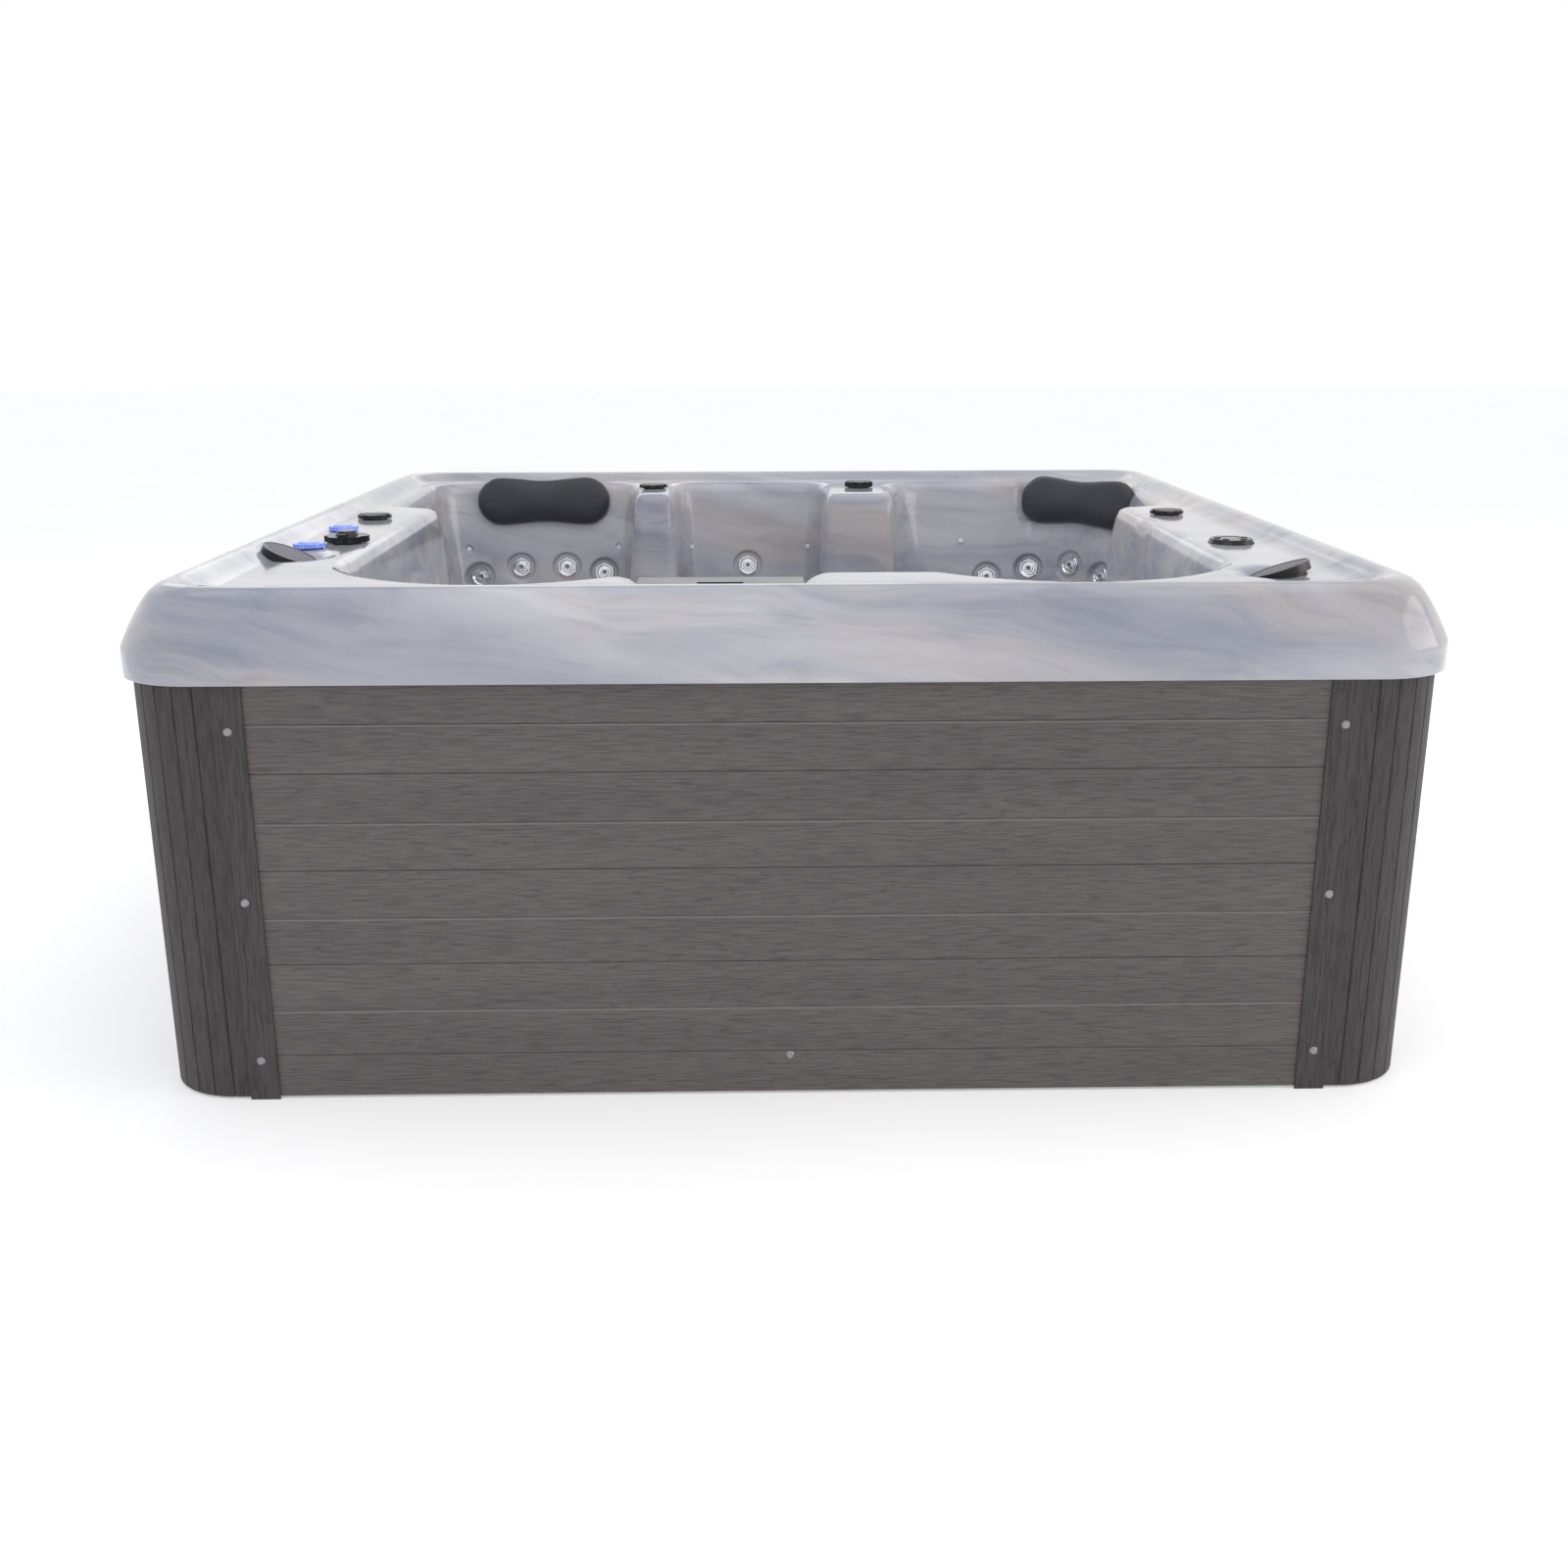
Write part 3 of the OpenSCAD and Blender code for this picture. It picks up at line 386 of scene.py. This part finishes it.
BOARD_LIGHT = srgb(98, 93, 93)
BOARD_DARK = srgb(76, 72, 73)
SLAT_LIGHT = srgb(70, 66, 67)
SLAT_DARK = srgb(44, 41, 43)
MATERIALS = {
    "acrylic": acrylic_material(),
    "cladding": wood_material("cladding_x", BOARD_LIGHT, BOARD_DARK, 0, 1.7),
    "cladding_y": wood_material("cladding_y", BOARD_LIGHT, BOARD_DARK, 1, 4.3),
    "cladding_dark": wood_material("cladding_z", SLAT_LIGHT, SLAT_DARK, 2, 6.1),
    "pan_plastic": moulded_material("pan_plastic", srgb(58, 58, 60), 0.5),
    "timber": timber_material(),
    "foam": moulded_material("foam", srgb(226, 216, 180), 0.85, 0.6, 220.0),
    "screw_steel": metal_material("screw_steel", srgb(150, 150, 154), 0.38, (1, 1, 1), 0.2),
    "pillow_skin": pillow_material(),
    "black_plastic": moulded_material("black_plastic", srgb(26, 26, 29), 0.22, 0.1),
    "grille": grille_material(),
    "display": display_material(),
    "button_plastic": moulded_material("button_plastic", srgb(92, 92, 100), 0.45),
    "grey_plastic": moulded_material("grey_plastic", srgb(48, 48, 51), 0.42),
    "lit_blue": lit_material(),
    "white_pvc": moulded_material("white_pvc", srgb(226, 226, 220), 0.38, 0.1),
    "chrome_trim": metal_material("chrome_trim", srgb(222, 223, 228), 0.07),
    "lens": lens_material(),
    "filter_paper": moulded_material("filter_paper", srgb(222, 226, 232), 0.9, 0.8, 700.0),
    "motor_paint": moulded_material("motor_paint", srgb(42, 46, 54), 0.4, 0.3),
    "pump_plastic": moulded_material("pump_plastic", srgb(30, 30, 33), 0.45),
    "box_grey": moulded_material("box_grey", srgb(128, 133, 140), 0.42, 0.4),
    "heater_steel": metal_material("heater_steel", srgb(196, 196, 200), 0.28, (0.05, 1, 1), 0.3),
}
GRAIN_ALONG_Y = ("left_boards", "right_boards")


def dress_nodes():
    """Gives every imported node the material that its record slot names."""
    slots = {s["node"]: s["material_slot"] for s in frame["record"]["subparts"]}
    for name, obj in frame["nodes"].items():
        key = "cladding_y" if name in GRAIN_ALONG_Y else slots[name]
        obj.data.materials.clear()
        obj.data.materials.append(MATERIALS[key])


# ------------------------------------------------------------------ the acrylic shell

def tree_of(obj):
    mesh = obj.data
    return BVHTree.FromPolygons([v.co for v in mesh.vertices],
                                [tuple(p.vertices) for p in mesh.polygons])


def islands(node):
    """Middle of each separate solid in a node."""
    bm = bmesh.new()
    bm.from_mesh(frame["nodes"][node].data)
    bmesh.ops.remove_doubles(bm, verts=bm.verts, dist=1e-5)
    seen, middles = set(), []
    for start in bm.verts:
        if start in seen:
            continue
        group, stack = [], [start]
        seen.add(start)
        while stack:
            vert = stack.pop()
            group.append(vert.co.copy())
            for edge in vert.link_edges:
                other = edge.other_vert(vert)
                if other not in seen:
                    seen.add(other)
                    stack.append(other)
        low = [min(c[i] for c in group) for i in range(3)]
        high = [max(c[i] for c in group) for i in range(3)]
        middles.append(Vector([(a + b) / 2 for a, b in zip(low, high)]))
    bm.free()
    return middles


def top_heights(tree, xs, ys):
    """The shell's height over a plan grid, with nan where a ray falls through a hole."""
    heights = np.full((len(xs), len(ys)), np.nan)
    for i, x in enumerate(xs):
        for j, y in enumerate(ys):
            hit = tree.ray_cast(Vector((x, y, ABOVE)), DOWN)[0]
            if hit is not None:
                heights[i, j] = hit.z
    return heights


def fill_holes(heights, hole):
    """Fills the marked cells with the smoothest surface through their edge."""
    h = np.where(hole | np.isnan(heights), np.nanmean(heights), heights)
    todo = np.argwhere(hole | np.isnan(heights))
    inner = (todo > 0).all(1) & (todo < np.array(h.shape) - 1).all(1)
    i, j = todo[inner].T
    for _ in range(FILL_PASSES):
        h[i, j] = 0.25 * (h[i - 1, j] + h[i + 1, j] + h[i, j - 1] + h[i, j + 1])
    return h


def blur(field, sigma):
    """A Gaussian blur of a 3-D array, sigma in cells."""
    reach = int(3 * sigma) + 1
    taps = np.exp(-0.5 * (np.arange(-reach, reach + 1) / sigma) ** 2)
    taps /= taps.sum()
    for axis in range(3):
        pad = [(0, 0)] * 3
        pad[axis] = (reach, reach)
        wide = np.pad(field, pad, mode="edge")
        total = np.zeros_like(field)
        for k, tap in enumerate(taps):
            cut = [slice(None)] * 3
            cut[axis] = slice(k, k + field.shape[axis])
            total += tap * wide[tuple(cut)]
        field = total
    return field


def plan_inset(x, y):
    """How far inside the lip's rounded-square outline a plan point lies."""
    dx = np.abs(x) - (LIP_HALF - LIP_R)
    dy = np.abs(y) - (LIP_HALF - LIP_R)
    outside = np.hypot(np.maximum(dx, 0), np.maximum(dy, 0))
    return LIP_R - outside - np.minimum(np.maximum(dx, dy), 0)


def disc_place(node, middle, tip, shell=None):
    """A turned fitting's point and axis: most of its flat area faces along the axis, and its tip
    stands that far above the point. The axis faces the tub's middle, or open air where a shell
    tree is given."""
    mesh = frame["nodes"][node].data
    near = [p for p in mesh.polygons if (p.center - middle).length < 0.075]
    areas = {}
    for p in near:
        key = tuple(round(c, 2) for c in p.normal)
        areas[key] = areas.get(key, 0) + p.area
    axis = Vector(max(areas, key=areas.get)).normalized()
    if shell is None:
        inward = axis.dot(Vector((middle.x, middle.y, 0))) > 0
    else:
        ahead = middle + axis * 0.035
        hit = shell.ray_cast(Vector((ahead.x, ahead.y, ABOVE)), DOWN)[0]
        inward = hit is not None and hit.z > ahead.z
    if inward:
        axis = -axis
    points = [mesh.vertices[i].co for p in near for i in p.vertices]
    top = max(v.dot(axis) for v in points)
    ends = [v for v in points if v.dot(axis) > top - 0.0005]
    return sum(ends, Vector()) / len(ends) - tip * axis, axis


def jet_places():
    """Every jet's point on the floor of its recess, and its axis."""
    places = [node_axis(n) for n in JET_NODES]
    return places + [disc_place("fixed_jets", m, JET_TIP) for m in islands("fixed_jets")]


def led_places(shell):
    """Every small lamp's point, just under its lens, and its axis."""
    return [disc_place("led_points", m, LED_TIP, shell) for m in islands("led_points")]


def basin_field(tree):
    """A rounded solid of everything below the shell's top face, as a grid of distances."""
    span = LIP_HALF + 0.02
    xs = np.arange(-span, span + GRID / 2, GRID)
    zs = np.arange(0.03, CREST_Z + 0.05, GRID)
    heights = top_heights(tree, xs, xs)
    gx, gy = np.meshgrid(xs, xs, indexing="ij")
    hole = np.zeros_like(gx, bool)
    for pos, axis in jet_places():
        flat = Vector((axis.x, axis.y, 0)).normalized()
        along = (gx - pos.x) * flat.x + (gy - pos.y) * flat.y
        across = -(gx - pos.x) * flat.y + (gy - pos.y) * flat.x
        hole |= (np.abs(across) < 0.048) & (np.abs(along) < 0.034)

    def over(node, beside, before, behind):
        """Cells over a node's box, grown by a margin on each side."""
        low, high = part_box(node)
        across = (gx > low.x - beside) & (gx < high.x + beside)
        return across & (gy > low.y - before) & (gy < high.y + behind)

    for node in ("filter_lid", "weir_door"):
        hole |= over(node, -0.01, 0, 0.04)
    for node in ("suction_covers", "footwell_light"):
        hole |= over(node, 0.02, 0.02, 0.02) & (heights > FOOTWELL_LOW) & (heights < FOOTWELL_HIGH)
    heights = fill_holes(heights, hole & (plan_inset(gx, gy) > 0.1))
    heights = np.where(plan_inset(gx, gy) < 0, 0.0, heights)
    rise_x, rise_y = np.gradient(heights, GRID)
    lean = 1 / np.sqrt(1 + rise_x ** 2 + rise_y ** 2)
    field = (heights[:, :, None] - zs[None, None, :]) * lean[:, :, None]
    field = blur(np.clip(field, -0.05, 0.05), ROUNDING / GRID)
    return xs, zs, field


def surface_of(xs, zs, field):
    """The field's zero surface as verts and quads, at the voxel size."""
    grid = openvdb.FloatGrid(-0.05)
    grid.copyFromArray(np.ascontiguousarray(field, dtype=np.float32))
    verts, quads = grid.convertToQuads(0.0)
    verts = verts * GRID + np.array([xs[0], xs[0], zs[0]])
    return verts, quads


def outline(inset, per_side=90, per_corner=30):
    """Plan points of the lip's outline, moved in by inset, anticlockwise."""
    points = []
    for quarter in range(4):
        turn = Matrix.Rotation(quarter * math.pi / 2, 2)
        straight = LIP_HALF - LIP_R
        for k in range(per_corner):
            a = math.pi / 2 * k / per_corner
            r = max(LIP_R - inset, 0.02)
            c = LIP_HALF - inset - r
            points.append(turn @ Vector((c + r * math.cos(a), c + r * math.sin(a))))
        for k in range(per_side):
            c = LIP_HALF - inset
            points.append(turn @ Vector((straight * (1 - 2 * k / per_side), c)))
    return points


def lip_height(inset):
    """The lip's outer profile: height at an inset, from the crease to the crest."""
    t = min(inset / 0.076, 1.0)
    return CREASE_Z + (CREST_Z - CREASE_Z) * (1 - (1 - t) ** 1.6)


def smoothstep(low, high, value):
    t = np.clip((value - low) / (high - low), 0, 1)
    return t * t * (3 - 2 * t)


def pull_to_seam(verts, depth, tree):
    """Moves the verts that lie outside the seam onto it, at the surface's own height."""
    for i in np.flatnonzero(depth < SEAM_INSET):
        x, y, z = verts[i]
        e = 1e-4
        slope = Vector((plan_inset(x + e, y) - plan_inset(x - e, y),
                        plan_inset(x, y + e) - plan_inset(x, y - e)))
        step = slope.normalized() * (SEAM_INSET - depth[i])
        x, y = x + step.x, y + step.y
        hit = tree.ray_cast(Vector((x, y, ABOVE)), DOWN)[0]
        verts[i] = (x, y, hit.z if hit else z)


def press_flats(bm, places):
    """Presses a round flat with a soft edge into the wall at each (point, axis, radius), on a finer
    mesh there."""
    middles = np.array([f.calc_center_median() for f in bm.faces])
    near = np.zeros(len(middles), bool)
    for pos, axis, r in places:
        near |= np.linalg.norm(middles - np.array(pos), axis=1) < r + 0.0185
    bm.faces.ensure_lookup_table()
    edges = list({e for i in np.flatnonzero(near) for e in bm.faces[int(i)].edges})
    bmesh.ops.subdivide_edges(bm, edges=edges, cuts=3, use_grid_fill=True)
    bm.verts.ensure_lookup_table()
    points = np.array([v.co for v in bm.verts])
    for pos, axis, r in places:
        rel = points - np.array(pos)
        height = rel @ np.array(axis)
        radius = np.linalg.norm(rel - height[:, None] * np.array(axis), axis=1)
        near = np.linalg.norm(rel, axis=1) < r + 0.0205
        sunk = (1 - smoothstep(r - SOFT_IN, r + SOFT_OUT, radius)) * near
        points -= (height * sunk)[:, None] * np.array(axis)
    for vert, point in zip(bm.verts, points):
        vert.co = point


def cut_opening(bm, low, high, axis, end):
    """Cuts a rectangle out of the surface inside a box and turns its edge back along the axis."""
    sides = [i for i in range(3) if i != axis]
    reach = GRID * 0.6
    inside = set()
    for vert in bm.verts:
        if not all(low[i] - reach < vert.co[i] < high[i] + reach for i in range(3)):
            continue
        for i in sides:
            for edge in (low[i], high[i]):
                if abs(vert.co[i] - edge) < reach:
                    vert.co[i] = edge
    for face in bm.faces:
        middle = face.calc_center_median()
        if all(low[i] < middle[i] < high[i] for i in range(3)):
            inside.add(face)
    rim = {e for f in inside for e in f.edges if any(g not in inside for g in e.link_faces)}
    bmesh.ops.delete(bm, geom=list(inside), context="FACES")
    grown = bmesh.ops.extrude_edge_only(bm, edges=[e for e in rim if e.is_valid])
    for item in grown["geom"]:
        if isinstance(item, bmesh.types.BMVert):
            item.co[axis] = end


def lip_rows(tree):
    """Rings of the lip from inside its lower edge, over the crease, to just under the basin's edge."""
    rows = [(ACRYLIC_T, SKIRT_Z + 0.035), (ACRYLIC_T, SKIRT_Z + 0.002), (ACRYLIC_T - 0.002, SKIRT_Z),
            (0.0018, SKIRT_Z), (0.0004, SKIRT_Z + 0.0008), (0.0, SKIRT_Z + 0.003), (0.0, CREASE_Z - 0.004),
            (0.0002, CREASE_Z - 0.0015)]
    slope = (0.0012, 0.004, 0.008, 0.013, 0.019, 0.026, 0.034, 0.043)
    rows += [(inset, lip_height(inset)) for inset in slope]
    rings = [[(p.x, p.y, z) for p in outline(inset)] for inset, z in rows]
    for inset in (0.052, 0.060, 0.068, 0.076, SEAM_INSET, SEAM_INSET + 0.012):
        under = 0.0012 if inset > SEAM_INSET else 0.0
        follow = float(smoothstep(0.044, 0.066, inset))
        ring = []
        for p in outline(inset):
            hit = tree.ray_cast(Vector((p.x, p.y, ABOVE)), DOWN)[0]
            own = lip_height(inset)
            ring.append((p.x, p.y, own + follow * (hit.z - own) - under))
        rings.append(ring)
    return rings


def build_shell():
    """The acrylic shell in two pieces that meet on the crest: the basin, and the lip round it."""
    cad = frame["nodes"]["acrylic_shell"]
    tree = tree_of(cad)
    xs, zs, field = basin_field(tree)
    verts, quads = surface_of(xs, zs, field)
    whole = BVHTree.FromPolygons(verts.tolist(), quads.tolist())
    depth = plan_inset(verts[:, 0], verts[:, 1])
    top = verts[:, 2] > zs[0] + 0.015
    kept = quads[((depth > SEAM_INSET) & top)[quads].any(axis=1) & top[quads].all(axis=1)]
    used, kept = np.unique(kept, return_inverse=True)
    kept = kept.reshape(-1, 4)
    verts, depth = verts[used].copy(), depth[used]
    pull_to_seam(verts, depth, whole)
    basin = mesh_object("acrylic_basin", verts, kept)
    bm = bmesh.new()
    bm.from_mesh(basin.data)
    recesses = [(*spot, RECESS_R) for spot in jet_places()]
    lamp_flats = [(*spot, LED_R) for spot in led_places(tree)]
    press_flats(bm, recesses + lamp_flats)
    low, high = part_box("weir_door")
    cut_opening(bm, (low.x, low.y - 0.03, low.z), (high.x, high.y + 0.04, high.z + 0.008),
                1, low.y + 0.005)
    low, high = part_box("filter_lid")
    side, end = 0.030, 0.021
    cut_opening(bm, (low.x + side, low.y + end, low.z), (high.x - side, high.y - end, high.z + 0.01),
                2, low.z + 0.005)
    bm.normal_update()
    bm.to_mesh(basin.data)
    bm.free()
    rings = lip_rows(whole)
    count = len(rings[0])
    lip_verts = [v for ring in rings for v in ring]
    lip = mesh_object("acrylic_lip", lip_verts, ring_faces(len(rings), count))
    for piece in (basin, lip):
        piece.data.materials.append(MATERIALS["acrylic"])
        place(piece, TUB, "acrylic", "acrylic_shell")


# ------------------------------------------------------------------ pillows

def flat_frame(node):
    """A flat node's middle and half sizes along its length, its height and its outward normal."""
    points = coords(frame["nodes"][node].data)
    middle = points.mean(axis=0)
    length, height, normal = np.linalg.svd(points - middle, full_matrices=False)[2]
    if normal @ middle > 0 and abs(normal[2]) < 0.9:
        normal = -normal
    if height[2] < 0:
        height = -height
    length = np.cross(height, normal)
    turned = (points - middle) @ np.array([length, height, normal]).T
    low, high = turned.min(axis=0), turned.max(axis=0)
    axes = np.array([length, height, normal])
    return middle + (low + high) / 2 @ axes, axes, (high - low) / 2


def pillow_outline(half_length, half_height, pinch):
    """A dog-bone outline: round ends and two long sides that draw in at the middle."""
    straight = half_length - half_height
    side = []
    for x in np.linspace(straight, -straight, 28):
        side.append((x, half_height - pinch * (1 - float(smoothstep(0, straight, abs(x))))))
    cap = [(-straight - half_height * math.sin(a), half_height * math.cos(a))
           for a in np.linspace(0, math.pi, 16)[1:-1]]
    half = side + cap
    return half + [(-x, -y) for x, y in half]


def pillow_mesh(name, node):
    """A crowned pad with a rounded rim, a little smaller than its CAD solid, flat at its back."""
    middle, axes, half = flat_frame(node)
    half_length, half_height, half_thick = half - np.array([0.0005, 0.0005, 0.0])
    outline_points = pillow_outline(half_length, half_height, PILLOW_PINCH)
    back, front = -half_thick + 0.001, half_thick - 0.008
    rows = [(0.010, back), (0.004, back + 0.0015), (0.0, back + 0.006), (0.0, back + 0.014)]
    rows += [(0.036 * (1 - math.cos(a)), back + 0.014 + (front - 0.004 - back - 0.014) * math.sin(a))
             for a in np.linspace(0, math.pi / 2, 8)[1:]]
    verts = []
    for inset, z in rows:
        verts += [(x * (1 - inset / half_length), y * (1 - inset / half_height), z)
                  for x, y in outline_points]
    count = len(outline_points)
    faces = ring_faces(len(rows), count)
    faces.append(tuple(range(count))[::-1])
    last = (len(rows) - 1) * count
    verts.append((0, 0, front))
    faces += [(last + k, last + (k + 1) % count, len(verts) - 1) for k in range(count)]
    pad = mesh_object(name, np.array(verts), faces)
    bm = bmesh.new()
    bm.from_mesh(pad.data)
    bmesh.ops.recalc_face_normals(bm, faces=bm.faces)
    bm.to_mesh(pad.data)
    bm.free()
    return pad, middle, axes, half


def evaluated_mesh(obj):
    depsgraph = bpy.context.evaluated_depsgraph_get()
    return bpy.data.meshes.new_from_object(obj.evaluated_get(depsgraph))


def apply_modifiers(obj):
    mesh = evaluated_mesh(obj)
    obj.modifiers.clear()
    obj.data = mesh


def swell(pads):
    """Remeshes the pads and blows them up as cloth, with their backs pinned."""
    before = []
    for pad in pads:
        remesh = pad.modifiers.new("remesh", "REMESH")
        remesh.mode = "VOXEL"
        remesh.voxel_size = 0.005
        apply_modifiers(pad)
        points = coords(pad.data)
        before.append(points)
        held = pad.vertex_groups.new(name="held")
        back = np.flatnonzero(points[:, 2] < points[:, 2].min() + PINNED)
        held.add([int(i) for i in back], 1.0, "REPLACE")
        cloth = pad.modifiers.new("cloth", "CLOTH")
        cloth.settings.quality = 6
        cloth.settings.mass = 0.15
        cloth.settings.use_pressure = True
        cloth.settings.uniform_pressure_force = 4.0
        cloth.settings.vertex_group_mass = "held"
        cloth.settings.effector_weights.gravity = 0.0
        cloth.point_cache.frame_start = 1
        cloth.point_cache.frame_end = SWELL_STEPS
    for step in range(1, SWELL_STEPS + 1):
        bpy.context.scene.frame_set(step)
        for pad in pads:
            pad.evaluated_get(bpy.context.evaluated_depsgraph_get())
    for pad, start in zip(pads, before):
        moved = coords(evaluated_mesh(pad)) - start
        size = np.linalg.norm(moved, axis=1, keepdims=True)
        moved *= np.minimum(1, SWELL_CAP / np.maximum(size, 1e-9))
        pad.modifiers.clear()
        pad.data.vertices.foreach_set("co", (start + moved).ravel())
        pad.data.update()
    bpy.context.scene.frame_set(1)


def build_pillows():
    """Two soft headrests, each in its pocket in the wall."""
    made = [(node, *pillow_mesh(node.replace("pillow", "headrest"), node))
            for node in ("pillow_left", "pillow_right")]
    swell([pad for _, pad, *_ in made])
    for node, pad, middle, axes, half in made:
        points = np.clip(coords(pad.data), -half, half)
        pad.data.vertices.foreach_set("co", (points @ axes + middle).ravel())
        pad.data.polygons.foreach_set("use_smooth", [True] * len(pad.data.polygons))
        pad.data.materials.clear()
        pad.data.materials.append(MATERIALS["pillow_skin"])
        pad.data.update()
        pad.modifiers.new("subdivision", "SUBSURF").render_levels = 1
        place(pad, TUB, "pillow_skin", node)


# ------------------------------------------------------------------ speaker grilles

def build_grilles():
    """Perforated domes over the speakers: a plate with a hexagonal grid of sunk holes."""
    for middle in islands("speaker_grilles"):
        pos, axis = disc_place("speaker_grilles", middle, 0.0)
        turn = axis.to_track_quat("Z", "X").to_matrix()
        reach = GRILLE_R - 1.5 * PITCH
        verts, faces = [], []

        def dome(x, y, z):
            return pos + turn @ Vector((x, y, z + DOME * (1 - (x * x + y * y) / GRILLE_R ** 2)))

        def ring(cx, cy, r, z):
            first = len(verts)
            for k in range(6):
                a = math.radians(60 * k + 30)
                verts.append(dome(cx + r * math.cos(a), cy + r * math.sin(a), z))
            return first

        rows = int(reach / (PITCH * 0.866)) + 1
        for row in range(-rows, rows + 1):
            for col in range(-rows - 1, rows + 2):
                x, y = (col + 0.5 * (row % 2)) * PITCH, row * PITCH * 0.866
                if math.hypot(x, y) > reach:
                    continue
                rings = [ring(x, y, PITCH / math.sqrt(3), 0), ring(x, y, PITCH * 0.33, 0),
                         ring(x, y, PITCH * 0.28, -0.0009)]
                for a, b in zip(rings, rings[1:]):
                    faces += [(a + k, a + (k + 1) % 6, b + (k + 1) % 6, b + k) for k in range(6)]
                faces.append(tuple(rings[-1] + k for k in range(6)))
        first, count = len(verts), 64
        for r, z in ((reach - PITCH, -0.0003), (GRILLE_R, -0.0003), (GRILLE_R, -0.0018)):
            turns = [2 * math.pi * k / count for k in range(count)]
            verts += [dome(r * math.cos(a), r * math.sin(a), z) for a in turns]
        for row in range(2):
            a, b = first + row * count, first + (row + 1) * count
            faces += [(a + k, b + k, b + (k + 1) % count, a + (k + 1) % count) for k in range(count)]
        name = "speaker_mesh_left" if pos.x < 0 else "speaker_mesh_right"
        plate = mesh_object(name, verts, faces, smooth=False)
        plate.data.materials.append(MATERIALS["grille"])
        place(plate, TUB, "grille", "speaker_grilles")


# ------------------------------------------------------------------ camera and studio

def look_from_photo_side():
    """A camera low in front of the tub, a little left of its middle."""
    pitch, yaw, roll = math.radians(16.17), math.radians(0.984), math.radians(-0.14)
    level = Vector((math.sin(yaw), math.cos(yaw), 0)) * math.cos(pitch)
    forward = level - Vector((0, 0, math.sin(pitch)))
    right = Vector((math.cos(yaw), -math.sin(yaw), 0))
    up = right.cross(forward)
    turned = right * math.cos(roll) + up * math.sin(roll)
    raised = -right * math.sin(roll) + up * math.cos(roll)
    data = bpy.data.cameras.new("camera")
    data.lens = 36.35
    data.sensor_width = 36.0
    camera = link(bpy.data.objects.new("camera", data))
    rotation = Matrix((turned, raised, -forward)).transposed().to_4x4()
    camera.matrix_world = Matrix.Translation((-0.052, -3.564, 1.275)) @ rotation
    bpy.context.scene.camera = camera


def studio():
    """A white floor under a pale sky that is dimmer overhead, with broad soft lights."""
    bpy.context.scene.view_settings.view_transform = "Standard"
    corners = [(-30, -30, 0), (30, -30, 0), (30, 30, 0), (-30, 30, 0)]
    floor = mesh_object("floor", corners, [(0, 1, 2, 3)])
    n = Nodes("floor", Roughness=0.9, Specular_IOR_Level=0.1, Emission_Strength=0.34)
    tint = n.ramp(n.noise(n.coords(), 0.8, 3, 0.5),
                  [(0.3, (0.87, 0.87, 0.87)), (0.7, (0.89, 0.89, 0.89))])
    n.join(tint, n.bsdf, "Base Color")
    n.join(tint, n.bsdf, "Emission Color")
    floor.data.materials.append(n.mat)
    world = bpy.data.worlds.new("sky")
    bpy.context.scene.world = world
    world.use_nodes = True
    tree = world.node_tree
    coord = tree.nodes.new("ShaderNodeTexCoord")
    split = tree.nodes.new("ShaderNodeSeparateXYZ")
    fade = tree.nodes.new("ShaderNodeValToRGB")
    tree.links.new(coord.outputs["Generated"], split.inputs[0])
    tree.links.new(split.outputs["Z"], fade.inputs["Fac"])
    tree.links.new(fade.outputs["Color"], tree.nodes["Background"].inputs["Color"])
    sky = ((0.24, (1, 1, 1, 1)), (0.60, (0.70, 0.71, 0.74, 1)))
    for element, (pos, colour) in zip(fade.color_ramp.elements, sky):
        element.position = pos
        element.color = colour
    tree.nodes["Background"].inputs["Strength"].default_value = 1.0

    def lamp(name, place_at, aim_at, size, power, colour=(1, 1, 1)):
        data = bpy.data.lights.new(name, "AREA")
        data.shape = "RECTANGLE"
        data.size, data.size_y = size
        data.energy = power
        data.color = colour
        obj = link(bpy.data.objects.new(name, data))
        obj.location = place_at
        obj.rotation_euler = (Vector(aim_at) - Vector(place_at)).to_track_quat("-Z", "Y").to_euler()

    lamp("top_light", (0.4, -0.8, 4.5), (0, 0, 0.6), (6.0, 4.0), 62)
    lamp("right_light", (5.0, -1.5, 2.4), (0, 0, 0.5), (3.5, 2.5), 48, (1, 0.90, 0.80))
    lamp("back_light", (-1.5, 5.0, 3.2), (0, 0, 0.6), (5.0, 2.0), 22, (0.95, 0.97, 1))


look_from_photo_side()
studio()
dress_nodes()
build_shell()
build_pillows()
build_grilles()
